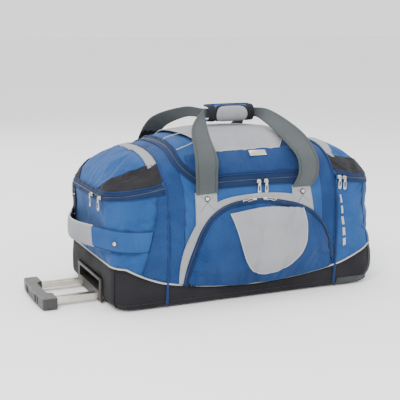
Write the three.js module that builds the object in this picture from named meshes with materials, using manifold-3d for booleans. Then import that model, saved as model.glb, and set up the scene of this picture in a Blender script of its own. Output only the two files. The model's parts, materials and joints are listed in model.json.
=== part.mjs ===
// Wheeled duffel bag, millimetres, +Z up.
// +X runs from the trolley-handle end to the wheel end, -Y is the front face, the floor is z = 0.
// Fabric panels are thin shells that follow one set of outline formulas, so their seams line up.
import * as THREE from 'three';
import { mergeVertices } from 'three/addons/utils/BufferGeometryUtils.js';
import Module from 'manifold-3d';

const wasm = await Module();
wasm.setup();

// ---------------------------------------------------------------- driving dimensions
const GAP = 0.4; // clearance kept between neighbouring solids
const SEAM = 1.3; // wider clearance along a curved seam
const HOOP_X = 212; // hoop seams between the main body and the end pockets
const HALF_LENGTH = 330; // base, end to end
const HALF_WIDTH = 179; // base, at the floor
const BELLY_Y = 191; // widest half width, at BELLY_Z
const BELLY_Z = 150;
const HOOP_TOP = 338; // top of the hoop seams
const CROWN = { y: 4, z: 26 }; // how much the middle of the bag swells past the hoops
const ROUND = 2.85; // superellipse power of the shoulders
const SKIN = 3.4; // fabric panel thickness with its foam and lining
const FLOOR_Z = 3; // underside of the base tray
const EDGE = { mid: 36, hoop: 58, end: 98 }; // top edge of the base tray
const LIP = { hoop: 270, end: 248, x: 337 }; // zip line round an end pocket
const LID = { halfX: 172, low: 10, high: 330, tilt: 35, frontRadius: 75 };
const HINGE_Y = 127; // fold line at the back of the lid
const TUBE = { y: 61, z: 14.5, width: 21, height: 12, wall: 1.3, from: -436, to: -8 };
const CHANNEL = { width: 26, height: 16, wall: 1.6, from: -326, to: 132 };
const BEZEL = { face: -335, halfY: 92, low: 3.6, high: 57, recessY: 78, recessLow: 26, recessHigh: 50, depth: 34 };
const GRIP = { outer: -474, ends: -467, bar: -447, block: -434, halfY: 96, blockY: 42, height: 25 };
const WHEEL = { x: 286, y: 150, radius: 40, width: 25, hub: 27, bearing: 11, axle: 4 };
const HOUSING = { x: 236, top: 90, inner: 126, outer: 172, wall: 3.2 };
const ANCHOR = { x: 119, y: 190, z: 252, width: 50, thickness: 2.6 };
const WRAP = { x: 21, halfLength: 59, y: 0, z: 407, halfY: 17, halfZ: 18, wall: 3 };
// Grab handle: how far it stands off the end pocket at places u along the outline.
const GRAB = {
  z: 158, height: 44, thickness: 4,
  standOff: [[0.12, 4.4], [0.18, 4.4], [0.24, 4.6], [0.3, 5], [0.35, 9], [0.4, 24], [0.45, 40], [0.5, 46]],
};
const BOARD = { z: 25, thickness: 2.5, halfX: 318, halfY: 164 };

const COLOURS = {
  blue: 0x3a6ea8, black: 0x26252a, grey: 0xbcbcc4, webbing: 0x70787a, plastic: 0x55554f,
  slate: 0x3c4144, alloy: 0xd6cfc0, nickel: 0xc9c5bb, rubber: 0x1d1d1f, board: 0x2c2c2e,
};

const group = new THREE.Group();

// ---------------------------------------------------------------- helpers
function addPart(name, geometry, colour, roughness = 0.85, metalness = 0) {
  const material = new THREE.MeshStandardMaterial({ color: colour, roughness, metalness });
  const mesh = new THREE.Mesh(geometry, material);
  mesh.name = name;
  group.add(mesh);
  return mesh;
}

function toSolid(geometry) {
  const bare = geometry.clone();
  bare.deleteAttribute('normal');
  bare.deleteAttribute('uv');
  const merged = mergeVertices(bare, 1e-4);
  return new wasm.Manifold(new wasm.Mesh({
    numProp: 3,
    vertProperties: new Float32Array(merged.attributes.position.array),
    triVerts: new Uint32Array(merged.index.array),
  }));
}

function toGeometry(solid) {
  const mesh = solid.getMesh();
  const geometry = new THREE.BufferGeometry();
  geometry.setAttribute('position', new THREE.BufferAttribute(new Float32Array(mesh.vertProperties), 3));
  geometry.setIndex(new THREE.BufferAttribute(new Uint32Array(mesh.triVerts), 1));
  geometry.computeVertexNormals();
  return geometry;
}

// A box given by its two corners.
function boxBetween(x0, y0, z0, x1, y1, z1) {
  const geometry = new THREE.BoxGeometry(x1 - x0, y1 - y0, z1 - z0);
  geometry.translate((x0 + x1) / 2, (y0 + y1) / 2, (z0 + z1) / 2);
  return geometry;
}

function cutAway(geometry, ...tools) {
  return toGeometry(tools.reduce((solid, tool) => solid.subtract(toSolid(tool)), toSolid(geometry)));
}

// Closed solid from a grid of points: rows[i][j]. closeLoop joins the last column to the first,
// and the first and last rows are capped when caps is true.
function gridSolid(rows, closeLoop, caps) {
  const columns = rows[0].length;
  const positions = rows.flat().flatMap((p) => [p.x, p.y, p.z]);
  const index = [];
  const at = (i, j) => i * columns + (j % columns);
  const spans = closeLoop ? columns : columns - 1;
  for (let i = 0; i < rows.length - 1; i += 1) {
    for (let j = 0; j < spans; j += 1) {
      index.push(at(i, j), at(i, j + 1), at(i + 1, j + 1), at(i, j), at(i + 1, j + 1), at(i + 1, j));
    }
  }
  if (caps) {
    [[rows[0], 0, false], [rows.at(-1), rows.length - 1, true]].forEach(([row, i, flip]) => {
      const middle = row.reduce((sum, p) => sum.add(p), new THREE.Vector3()).divideScalar(columns);
      const centre = positions.length / 3;
      positions.push(middle.x, middle.y, middle.z);
      for (let j = 0; j < columns; j += 1) {
        index.push(...(flip ? [at(i, j), at(i, j + 1), centre] : [at(i, j + 1), at(i, j), centre]));
      }
    });
  }
  const geometry = new THREE.BufferGeometry();
  geometry.setAttribute('position', new THREE.BufferAttribute(new Float32Array(positions), 3));
  geometry.setIndex(index);
  return outward(geometry);
}

// Turns every face round when the solid is inside out.
function outward(geometry) {
  const p = geometry.attributes.position.array;
  const index = Array.from(geometry.index.array);
  let volume = 0;
  const a = new THREE.Vector3();
  const b = new THREE.Vector3();
  const c = new THREE.Vector3();
  for (let i = 0; i < index.length; i += 3) {
    a.fromArray(p, index[i] * 3);
    b.fromArray(p, index[i + 1] * 3);
    c.fromArray(p, index[i + 2] * 3);
    volume += a.dot(b.cross(c));
  }
  if (volume < 0) {
    for (let i = 0; i < index.length; i += 3) [index[i], index[i + 1]] = [index[i + 1], index[i]];
    geometry.setIndex(index);
  }
  geometry.computeVertexNormals();
  return geometry;
}

// A thin panel: outer and inner are functions (u, v) -> Vector3 over the unit square.
function panel(outer, inner, uSteps, vSteps) {
  const sheet = (surface) => Array.from({ length: vSteps + 1 }, (_, j) => (
    Array.from({ length: uSteps + 1 }, (_unused, i) => surface(i / uSteps, j / vSteps))));
  const front = sheet(outer);
  const back = sheet(inner);
  const rings = front.map((row, j) => [...row, ...back[j].slice().reverse()]);
  const columns = rings[0].length;
  const positions = rings.flat().flatMap((p) => [p.x, p.y, p.z]);
  const index = [];
  const at = (i, j) => i * columns + (j % columns);
  for (let i = 0; i < vSteps; i += 1) {
    for (let j = 0; j < columns; j += 1) {
      index.push(at(i, j), at(i, j + 1), at(i + 1, j + 1), at(i, j), at(i + 1, j + 1), at(i + 1, j));
    }
  }
  for (let j = 0; j < uSteps; j += 1) {
    const k = columns - 1 - j;
    index.push(at(0, j + 1), at(0, j), at(0, k), at(0, j + 1), at(0, k), at(0, k - 1));
    index.push(at(vSteps, j), at(vSteps, j + 1), at(vSteps, k), at(vSteps, j + 1), at(vSteps, k - 1), at(vSteps, k));
  }
  const geometry = new THREE.BufferGeometry();
  geometry.setAttribute('position', new THREE.BufferAttribute(new Float32Array(positions), 3));
  geometry.setIndex(index);
  return outward(geometry);
}

// A flat ribbon between two edge curves, with its thickness along its own normal.
function ribbon(edgeA, edgeB, thickness, steps) {
  const curveA = new THREE.CatmullRomCurve3(edgeA);
  const curveB = new THREE.CatmullRomCurve3(edgeB);
  const rows = [];
  for (let i = 0; i <= steps; i += 1) {
    const t = i / steps;
    const a = curveA.getPoint(t);
    const b = curveB.getPoint(t);
    const along = curveA.getTangent(t).add(curveB.getTangent(t));
    const normal = new THREE.Vector3().crossVectors(along, b.clone().sub(a)).normalize();
    const half = normal.multiplyScalar(thickness / 2);
    rows.push([a.clone().add(half), b.clone().add(half), b.clone().sub(half), a.clone().sub(half)]);
  }
  return gridSolid(rows, true, true);
}

// ---------------------------------------------------------------- outline formulas
// Half width of the main body at station x and height z below the shoulders.
function sideY(x, z, inset) {
  const crown = 1 - Math.abs(x / HOOP_X) ** 2.5;
  const below = Math.max(0, (BELLY_Z - z) / BELLY_Z);
  return BELLY_Y + CROWN.y * crown - (BELLY_Y - HALF_WIDTH) * below ** 2 - inset;
}

// Main body section: v 0..1 front wall up to the belly, 1..2 over the top, 2..3 down the back wall.
function bodyPoint(x, v, inset, lowest) {
  const crown = 1 - Math.abs(x / HOOP_X) ** 2.5;
  if (v < 1 || v > 2) {
    const share = v < 1 ? v : 3 - v;
    const z = lowest + (BELLY_Z - lowest) * share;
    return new THREE.Vector3(x, (v < 1 ? -1 : 1) * sideY(x, z, inset), z);
  }
  const angle = (v - 1) * Math.PI;
  const reach = sideY(x, BELLY_Z, inset);
  const rise = HOOP_TOP + CROWN.z * crown - inset - BELLY_Z;
  const c = Math.cos(angle);
  const s = Math.sin(angle);
  const y = -Math.sign(c) * reach * Math.abs(c) ** (2 / ROUND);
  return new THREE.Vector3(x, y, BELLY_Z + rise * s ** (2 / ROUND));
}

// Top edge of the base tray: low in the middle, rising to both ends.
function edgeZ(x) {
  const far = Math.abs(x);
  if (far <= HOOP_X) return EDGE.mid + (EDGE.hoop - EDGE.mid) * (far / HOOP_X) ** 2;
  const share = Math.min(1, (far - HOOP_X) / (HALF_LENGTH - 25 - HOOP_X));
  return EDGE.hoop + (EDGE.end - EDGE.hoop) * share ** 1.3;
}

// Zip line of an end pocket.
function lipZ(x) {
  return LIP.hoop - (LIP.hoop - LIP.end) * ((Math.abs(x) - HOOP_X) / (LIP.x - HOOP_X));
}

// Half length of the bag at height z; the wheel end has the larger round at the floor.
function endX(z, side) {
  const round = side > 0 ? 46 : 22;
  const under = Math.max(0, (round - (z - FLOOR_Z)) / round);
  const foot = round * (1 - Math.sqrt(1 - Math.min(1, under) ** 2));
  const waist = z > 180 ? 11 * Math.min(1, (z - 180) / 70) ** 2 : 4 * Math.min(1, (180 - z) / 120) ** 2;
  return HALF_LENGTH - 4 + waist - foot;
}

function widthY(z) {
  const round = 12;
  const under = Math.max(0, (round - (z - FLOOR_Z)) / round);
  const foot = round * (1 - Math.sqrt(1 - Math.min(1, under) ** 2));
  const top = z > BELLY_Z ? 8 * ((z - BELLY_Z) / 112) ** 2 : 0;
  return sideY(HOOP_X, z, 0) - foot - top;
}

// Half outline at one end, from the front hoop round to the back hoop: u 0..1.
// heightAt(x) gives the height at station x, so an edge can rise along the outline.
const STRAIGHT = 0.14; // share of u used by each straight from a hoop to its corner
const CORNER = 0.22; // share of u used by each corner
function outlinePoint(u, heightAt, side, inset) {
  const mirrored = u > 0.5 ? 1 - u : u;
  let z = heightAt(HOOP_X);
  let x = HOOP_X;
  let y = 0;
  for (let pass = 0; pass < 3; pass += 1) {
    const length = endX(z, side) - inset;
    const width = widthY(z) - inset;
    const radius = 38 + 57 * (Math.max(0, z) / 250) ** 1.5 - inset;
    if (mirrored < STRAIGHT) {
      x = HOOP_X + GAP + (length - radius - HOOP_X - GAP) * (mirrored / STRAIGHT);
      y = -width;
    } else if (mirrored < STRAIGHT + CORNER) {
      const angle = ((mirrored - STRAIGHT) / CORNER) * (Math.PI / 2);
      x = length - radius + radius * Math.sin(angle);
      y = -(width - radius) - radius * Math.cos(angle);
    } else {
      x = length;
      y = -(width - radius) * (1 - (mirrored - STRAIGHT - CORNER) / (0.5 - STRAIGHT - CORNER));
    }
    z = heightAt(x);
  }
  return new THREE.Vector3(side * x, u > 0.5 ? -y : y, z);
}

// ---------------------------------------------------------------- base
function baseTray() {
  const steps = 22;
  const ring = (heightAt, inset) => {
    const right = Array.from({ length: steps + 1 }, (_, i) => outlinePoint(i / steps, heightAt, 1, inset));
    const left = Array.from({ length: steps + 1 }, (_, i) => outlinePoint(1 - i / steps, heightAt, -1, inset));
    const middle = (sign) => [-0.5, 0, 0.5].map((share) => {
      const x = share * sign * HOOP_X;
      const z = heightAt(Math.abs(x));
      return new THREE.Vector3(x, -sign * (widthY(z) - inset), z);
    });
    return [...middle(1), ...right, ...middle(-1), ...left];
  };
  const level = (z) => () => z;
  const rings = [
    ring(level(FLOOR_Z), 0), ring(level(FLOOR_Z + 3), 0), ring(level(FLOOR_Z + 12), 0),
    ring(level(30), 0), ring((x) => edgeZ(x) - GAP, 0),
    ring((x) => edgeZ(x) - GAP, SKIN), ring(level(28), SKIN), ring(level(FLOOR_Z + 12), SKIN),
    ring(level(FLOOR_Z + SKIN - 0.4), SKIN + 1),
  ];
  const tray = gridSolid(rings, true, true);
  const wells = [-1, 1].map((side) => {
    const low = Math.min(side * HOUSING.inner, side * 200) - (side > 0 ? GAP : 0);
    const high = Math.max(side * HOUSING.inner, side * 200) + (side < 0 ? GAP : 0);
    return boxBetween(HOUSING.x - GAP, low, -2, 360, high, HOUSING.top + GAP);
  });
  const handleHole = boxBetween(-360, -BEZEL.recessY - 8, 4, -300, BEZEL.recessY + 8, BEZEL.high - 3);
  return cutAway(tray, ...wells, handleHole);
}

addPart('base_tray', baseTray(), COLOURS.black, 0.9);

// Stiff floor board over the trolley channels, notched round the wheel housings and the recess.
function floorBoard() {
  const shape = new THREE.Shape();
  const { halfX, halfY } = BOARD;
  const notchX = HOUSING.x - 2;
  const notchY = HOUSING.inner - 2;
  const recessX = BEZEL.face + BEZEL.depth + 6;
  const recessY = BEZEL.recessY + 8;
  [[notchX, -halfY], [notchX, -notchY], [halfX, -notchY], [halfX, notchY], [notchX, notchY], [notchX, halfY],
    [-halfX + 26, halfY], [-halfX, halfY - 26], [-halfX, recessY], [recessX, recessY], [recessX, -recessY],
    [-halfX, -recessY], [-halfX, -halfY + 26], [-halfX + 26, -halfY]]
    .forEach(([x, y], i) => (i ? shape.lineTo(x, y) : shape.moveTo(x, y)));
  const geometry = new THREE.ExtrudeGeometry(shape, { depth: BOARD.thickness, bevelEnabled: false });
  geometry.translate(0, 0, BOARD.z);
  return geometry;
}

addPart('floor_board', floorBoard(), COLOURS.board, 0.8);

// ---------------------------------------------------------------- main body panels and lid
function lidCutter(grow) {
  const { halfX, low, high, frontRadius } = LID;
  const [x, e0, e1] = [halfX + grow, low - grow, high + grow];
  const shape = new THREE.Shape();
  shape.moveTo(-x + frontRadius, e0);
  shape.lineTo(x - frontRadius, e0);
  shape.quadraticCurveTo(x, e0, x, e0 + frontRadius);
  shape.lineTo(x, e1);
  shape.lineTo(-x, e1);
  shape.lineTo(-x, e0 + frontRadius);
  shape.quadraticCurveTo(-x, e0, -x + frontRadius, e0);
  const geometry = new THREE.ExtrudeGeometry(shape, { depth: 400, bevelEnabled: false, curveSegments: 8 });
  geometry.translate(0, 0, 120);
  geometry.rotateX((LID.tilt * Math.PI) / 180);
  return geometry;
}

const bodySkin = toSolid(panel(
  (u, v) => bodyPoint((2 * u - 1) * (HOOP_X - GAP), 3 * v, 0, edgeZ((2 * u - 1) * HOOP_X) + SEAM),
  (u, v) => bodyPoint((2 * u - 1) * (HOOP_X - GAP), 3 * v, SKIN, edgeZ((2 * u - 1) * HOOP_X) + SEAM),
  12, 42,
));
const shellBelowLid = bodySkin.subtract(toSolid(lidCutter(GAP / 2)));
const region = (x0, y0, x1, y1) => toSolid(boxBetween(x0, y0, 0, x1, y1, 500));
const shoulderY = -62; // seam between the front panel and the side gussets
const panelPieces = {
  front_panel: region(-400, -400, 400, shoulderY),
  back_panel: region(-400, HINGE_Y + GAP, 400, 400),
  left_gusset: region(-400, shoulderY + GAP, 0, HINGE_Y),
  right_gusset: region(0, shoulderY + GAP, 400, HINGE_Y),
};
Object.entries(panelPieces).forEach(([name, where]) => {
  addPart(name, toGeometry(shellBelowLid.intersect(where)), COLOURS.blue);
});
const inFrontOfHinge = region(-400, -400, 400, HINGE_Y - GAP);
addPart('lid', toGeometry(bodySkin.intersect(toSolid(lidCutter(-GAP / 2))).intersect(inFrontOfHinge)), COLOURS.blue);

// Dividers between the main compartment and the end pockets.
function bulkhead(side) {
  const shape = new THREE.Shape();
  const clear = SKIN + 2;
  const lowest = BOARD.z + BOARD.thickness + GAP;
  for (let i = 0; i <= 36; i += 1) {
    const v = (i / 36) * 3;
    const p = bodyPoint(HOOP_X, v, clear, lowest);
    if (i) shape.lineTo(p.y, p.z);
    else shape.moveTo(p.y, p.z);
  }
  const geometry = new THREE.ExtrudeGeometry(shape, { depth: 3, bevelEnabled: false });
  geometry.rotateX(Math.PI / 2);
  geometry.rotateZ(Math.PI / 2);
  geometry.translate(side * HOOP_X - 1.5, 0, 0);
  return geometry;
}

// ---------------------------------------------------------------- end pockets
function pocketWall(side) {
  const surface = (inset) => (u, v) => outlinePoint(
    u, (x) => edgeZ(x) + SEAM + (lipZ(x) - SEAM - GAP - edgeZ(x)) * v, side, inset);
  return panel(surface(0), surface(SKIN), 28, 6);
}

// Domed flap over an end pocket, from the zip line (v = 0) up to the hoop seam (v = 1).
function flapPoint(u, v, side, inset) {
  const low = outlinePoint(u, (x) => lipZ(x) + GAP, side, inset);
  const start = Math.asin(Math.min(1, ((LIP.hoop + GAP - BELLY_Z) / (HOOP_TOP - BELLY_Z)) ** (ROUND / 2)));
  const share = (start + (Math.PI - 2 * start) * u) / Math.PI;
  const high = bodyPoint(side * (HOOP_X + GAP), 1 + share, inset, 0);
  const swell = Math.sin(Math.PI * v) * Math.sin(Math.PI * u) ** 0.6;
  const point = low.lerp(high, v);
  return point.add(new THREE.Vector3(side * 12 * swell, 0, 17 * swell));
}

function pocketFlap(side) {
  return panel((u, v) => flapPoint(u, v, side, 0), (u, v) => flapPoint(u, v, side, SKIN), 28, 7);
}

[['left', -1], ['right', 1]].forEach(([name, side]) => {
  addPart(`${name}_divider`, bulkhead(side), COLOURS.black);
  addPart(`${name}_pocket_wall`, pocketWall(side), COLOURS.blue);
  addPart(`${name}_pocket_flap`, pocketFlap(side), COLOURS.blue);
});

// ---------------------------------------------------------------- front pocket
const POCKET = { left: -172, right: 198, bottom: 50, top: 230, proud: 13 };
function frontPocket() {
  const middleX = (POCKET.left + POCKET.right) / 2;
  const halfX = (POCKET.right - POCKET.left) / 2;
  const place = (u, v, proud) => {
    const across = 2 * u - 1;
    const arch = (1 - Math.abs(across) ** 2.6) ** (1 / 2.2);
    const x = middleX + halfX * across * 0.985;
    const bottom = edgeZ(x) + 2 - 4 * (1 - Math.abs(across));
    const z = bottom + (POCKET.top - bottom) * Math.max(0.14, arch) * v;
    const swell = Math.sin(Math.PI * v) ** 0.7 * (1 - across ** 4) ** 0.7;
    return new THREE.Vector3(x, -sideOuter(x, z) - SEAM - proud * (0.25 + 0.75 * swell), z);
  };
  return panel((u, v) => place(u, v, POCKET.proud), (u, v) => place(u, v, 0), 18, 10);
}

// Outer half width of the main body at any height.
function sideOuter(x, z) {
  if (z <= BELLY_Z) return sideY(x, z, 0);
  const crown = 1 - Math.abs(x / HOOP_X) ** 2.5;
  const rise = HOOP_TOP + CROWN.z * crown - BELLY_Z;
  return sideY(x, BELLY_Z, 0) * (1 - ((z - BELLY_Z) / rise) ** ROUND) ** (1 / ROUND);
}

addPart('front_pocket', frontPocket(), COLOURS.blue);

// ---------------------------------------------------------------- trolley
function rectangleTube(width, height, wall, from, to) {
  const outline = (w, h, kind) => {
    const path = new kind();
    path.moveTo(-w / 2, -h / 2);
    path.lineTo(w / 2, -h / 2);
    path.lineTo(w / 2, h / 2);
    path.lineTo(-w / 2, h / 2);
    path.closePath();
    return path;
  };
  const shape = outline(width, height, THREE.Shape);
  shape.holes.push(outline(width - 2 * wall, height - 2 * wall, THREE.Path));
  const geometry = new THREE.ExtrudeGeometry(shape, { depth: to - from, bevelEnabled: false });
  geometry.rotateX(Math.PI / 2);
  geometry.rotateZ(Math.PI / 2);
  geometry.translate(from, 0, 0);
  return geometry;
}

function handleBezel() {
  const { face, halfY, low, high, recessY, recessLow, recessHigh, depth } = BEZEL;
  const plate = toSolid(boxBetween(face, -halfY, low, face + 4, halfY, high));
  const cup = toSolid(boxBetween(face + 3, -recessY - 3, recessLow - 2.6, face + depth, recessY + 3, recessHigh + 3));
  const hollow = boxBetween(face - 5, -recessY, recessLow, face + depth - 3, recessY, recessHigh);
  const holes = [-1, 1].map((side) => boxBetween(
    face - 5, side * TUBE.y - TUBE.width / 2 - 0.6, TUBE.z - TUBE.height / 2 - 0.6,
    face + 6, side * TUBE.y + TUBE.width / 2 + 0.6, TUBE.z + TUBE.height / 2 + 0.6));
  return cutAway(toGeometry(plate.add(cup)), hollow, ...holes);
}

addPart('handle_bezel', handleBezel(), COLOURS.plastic, 0.45);
[['front', -1], ['back', 1]].forEach(([name, side]) => {
  const channel = rectangleTube(CHANNEL.width, CHANNEL.height, CHANNEL.wall, CHANNEL.from, CHANNEL.to);
  addPart(`${name}_channel`, channel, COLOURS.alloy, 0.35, 0.9).position.set(0, side * TUBE.y, TUBE.z);
  const tube = rectangleTube(TUBE.width, TUBE.height, TUBE.wall, TUBE.from, TUBE.to);
  addPart(`${name}_trolley_tube`, tube, COLOURS.alloy, 0.3, 0.9).position.set(0, side * TUBE.y, TUBE.z);
});

// Cross bracket that holds the blind ends of the channels.
function channelBracket() {
  const reach = TUBE.y + CHANNEL.width / 2 + 9;
  return boxBetween(CHANNEL.to + GAP, -reach, FLOOR_Z + SKIN + GAP, CHANNEL.to + 26, reach, BOARD.z - GAP);
}

addPart('channel_bracket', channelBracket(), COLOURS.slate, 0.6);

function gripShape() {
  const { outer, ends, bar, block, halfY, blockY } = GRIP;
  const shape = new THREE.Shape();
  shape.moveTo(ends + 6, -halfY);
  shape.lineTo(block - 4, -halfY);
  shape.quadraticCurveTo(block, -halfY, block, -halfY + 6);
  shape.lineTo(block, -blockY - 8);
  shape.quadraticCurveTo(bar, -blockY - 4, bar, -blockY + 10);
  shape.lineTo(bar, blockY - 10);
  shape.quadraticCurveTo(bar, blockY + 4, block, blockY + 8);
  shape.lineTo(block, halfY - 6);
  shape.quadraticCurveTo(block, halfY, block - 4, halfY);
  shape.lineTo(ends + 6, halfY);
  shape.quadraticCurveTo(ends, halfY, ends - 1, halfY - 8);
  shape.quadraticCurveTo(outer - 2, 0, ends - 1, -halfY + 8);
  shape.quadraticCurveTo(ends, -halfY, ends + 6, -halfY);
  return shape;
}

const BUTTON = { halfY: 24, halfZ: 5, x0: -471.5, x1: -462, travel: 3.5 };
function trolleyGrip() {
  const options = { depth: GRIP.height - 4, bevelSize: 2, bevelThickness: 2, bevelOffset: -2, bevelSegments: 2, curveSegments: 6 };
  const bar = new THREE.ExtrudeGeometry(gripShape(), options);
  bar.translate(0, 0, TUBE.z - GRIP.height / 2 + 2);
  const pocket = boxBetween(-490, -BUTTON.halfY - 0.5, TUBE.z - BUTTON.halfZ - 0.5,
    BUTTON.x1 + BUTTON.travel + 0.6, BUTTON.halfY + 0.5, TUBE.z + BUTTON.halfZ + 0.5);
  const sockets = [-1, 1].map((side) => boxBetween(
    TUBE.from - GAP, side * TUBE.y - TUBE.width / 2 - GAP, TUBE.z - TUBE.height / 2 - GAP,
    GRIP.block + 5, side * TUBE.y + TUBE.width / 2 + GAP, TUBE.z + TUBE.height / 2 + GAP));
  return cutAway(bar, pocket, ...sockets);
}

addPart('trolley_grip', trolleyGrip(), COLOURS.plastic, 0.4);
addPart('release_button', boxBetween(BUTTON.x0, -BUTTON.halfY, TUBE.z - BUTTON.halfZ,
  BUTTON.x1, BUTTON.halfY, TUBE.z + BUTTON.halfZ), COLOURS.slate, 0.3);

// ---------------------------------------------------------------- wheels
function turned(profile, segments = 32) {
  const points = [...profile, profile[0]].map(([r, y]) => new THREE.Vector2(r, y));
  return outward(new THREE.LatheGeometry(points, segments));
}

function wheelHousing(side) {
  const { x, top, inner, outer, wall } = HOUSING;
  const shape = new THREE.Shape();
  const centreZ = FLOOR_Z + 46;
  shape.moveTo(x, FLOOR_Z);
  shape.lineTo(HALF_LENGTH - 46, FLOOR_Z);
  shape.absarc(HALF_LENGTH - 46, centreZ, 46, -Math.PI / 2, 0, false);
  shape.lineTo(HALF_LENGTH, top);
  shape.lineTo(x, top);
  shape.closePath();
  const geometry = new THREE.ExtrudeGeometry(shape, { depth: outer - inner, bevelEnabled: false, curveSegments: 8 });
  geometry.rotateX(Math.PI / 2);
  geometry.translate(0, side > 0 ? outer : -inner, 0);
  const low = Math.min(side * (inner + wall), side * (outer - wall));
  const high = Math.max(side * (inner + wall), side * (outer - wall));
  const well = boxBetween(x + wall, low, -5, 360, high, top - wall);
  const bore = new THREE.CylinderGeometry(WHEEL.axle + 0.4, WHEEL.axle + 0.4, 400, 16);
  bore.translate(WHEEL.x, 0, WHEEL.radius);
  const corner = new THREE.Shape();
  for (let i = 0; i <= 22; i += 1) {
    const p = outlinePoint(i / 22, () => 60, 1, SKIN + 3);
    if (i) corner.lineTo(p.x, p.y);
    else corner.moveTo(p.x, p.y);
  }
  const prism = new THREE.ExtrudeGeometry(corner, { depth: 120, bevelEnabled: false });
  const rounded = toSolid(geometry).intersect(toSolid(prism));
  return cutAway(toGeometry(rounded), well, bore);
}

[['front', -1], ['back', 1]].forEach(([name, side]) => {
  const half = WHEEL.width / 2;
  const place = (mesh) => mesh.position.set(WHEEL.x, side * WHEEL.y, WHEEL.radius);
  const tyre = [[WHEEL.hub + GAP, -half], [WHEEL.radius - 4, -half], [WHEEL.radius - 0.6, -half + 5],
    [WHEEL.radius, 0], [WHEEL.radius - 0.6, half - 5], [WHEEL.radius - 4, half], [WHEEL.hub + GAP, half]];
  place(addPart(`${name}_wheel_tyre`, turned(tyre, 40), COLOURS.rubber, 0.8));
  const web = 4;
  const hub = [[WHEEL.bearing + GAP, -half], [WHEEL.bearing + 4, -half], [WHEEL.bearing + 5, -web],
    [WHEEL.hub - 4, -web], [WHEEL.hub - 3, -half + 1], [WHEEL.hub, -half + 1], [WHEEL.hub, half - 1],
    [WHEEL.hub - 3, half - 1], [WHEEL.hub - 4, web], [WHEEL.bearing + 5, web], [WHEEL.bearing + 4, half],
    [WHEEL.bearing + GAP, half]];
  place(addPart(`${name}_wheel_hub`, turned(hub), COLOURS.slate, 0.5));
  const bearing = [[WHEEL.axle + 0.3, -4], [WHEEL.bearing, -4], [WHEEL.bearing, 4], [WHEEL.axle + 0.3, 4]];
  place(addPart(`${name}_wheel_bearing`, turned(bearing, 24), COLOURS.nickel, 0.3, 0.9));
  const axle = new THREE.CylinderGeometry(WHEEL.axle, WHEEL.axle, HOUSING.outer - HOUSING.inner + 3, 16);
  const axleMesh = addPart(`${name}_axle`, axle, COLOURS.nickel, 0.3, 0.9);
  axleMesh.position.set(WHEEL.x, side * (HOUSING.outer + HOUSING.inner) / 2, WHEEL.radius);
  addPart(`${name}_wheel_housing`, wheelHousing(side), COLOURS.slate, 0.55);
  addPart(`${name}_corner_guard`, cornerGuard(side), COLOURS.slate, 0.55);
});

// Moulded guard along the bottom edge and up the corner at the wheel end.
function cornerGuard(side) {
  const width = 15;
  const route = (t) => {
    if (t < 0.5) return { u: 0.02 + 0.18 * (t / 0.5), z: FLOOR_Z + 2, du: 0, dz: 1 };
    const angle = ((t - 0.5) / 0.5) * (Math.PI / 2);
    return { u: 0.2 + 0.065 * Math.sin(angle), z: FLOOR_Z + 2 + 92 * (1 - Math.cos(angle)), du: -Math.sin(angle), dz: Math.cos(angle) };
  };
  const place = (t, w, stand) => {
    const r = route(t);
    const u = r.u + (r.du * w * width) / 420;
    const p = outlinePoint(u, () => r.z + r.dz * w * width, 1, -stand);
    return new THREE.Vector3(p.x, side < 0 ? p.y : -p.y, p.z);
  };
  return panel((u, v) => place(u, v, SEAM + 2.6), (u, v) => place(u, v, SEAM), 20, 2);
}

// Skid feet under the handle end.
[['front', -1], ['back', 1]].forEach(([name, side]) => {
  const foot = new THREE.CapsuleGeometry(11, 46, 3, 12);
  foot.rotateZ(Math.PI / 2);
  foot.scale(1, 1, 0.5);
  const trimmed = toSolid(foot).intersect(toSolid(boxBetween(-60, -20, -20, 60, 20, -0.2)));
  const mesh = addPart(`${name}_foot`, toGeometry(trimmed), COLOURS.slate, 0.6);
  mesh.position.set(-268, side * 138, FLOOR_Z);
  mesh.scale.set(1, 1, (FLOOR_Z - 0.05) / 5.5);
});

// ---------------------------------------------------------------- carry handles
const vector = (x, y, z) => new THREE.Vector3(x, y, z);

// Webbing loop of the front handle: both edges run anchor, shoulder, wrap, shoulder, anchor.
function frontStrap() {
  const { x, y, z, width } = ANCHOR;
  const half = width / 2;
  const outer = [vector(-x - half, -y, z), vector(-x - half - 1, -y - 1, z + 40), vector(-x - half - 2, -y + 3, z + 84),
    vector(-x - 12, -y + 55, z + 138), vector(-76, -62, 418), vector(-40, -8, 417), vector(21, -8, 417),
    vector(82, -8, 417), vector(106, -60, 412), vector(x + 24, -y + 52, z + 118), vector(x + half + 13, -y + 8, z + 72),
    vector(x + half + 14, -y - 3, z + 32), vector(x + half, -y, z)];
  const inner = [vector(-x + half, -y, z), vector(-x + half - 1, -y - 1, z + 40), vector(-x + half + 1, -y + 4, z + 76),
    vector(-x + half + 6, -y + 58, z + 116), vector(-66, -60, 396), vector(-40, -8, 398), vector(21, -8, 398),
    vector(82, -8, 398), vector(86, -62, 388), vector(x - 26, -y + 58, z + 108), vector(x - half + 14, -y + 10, z + 70),
    vector(x - half + 14, -y - 3, z + 32), vector(x - half, -y, z)];
  return ribbon(outer, inner, ANCHOR.thickness, 56);
}

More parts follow.
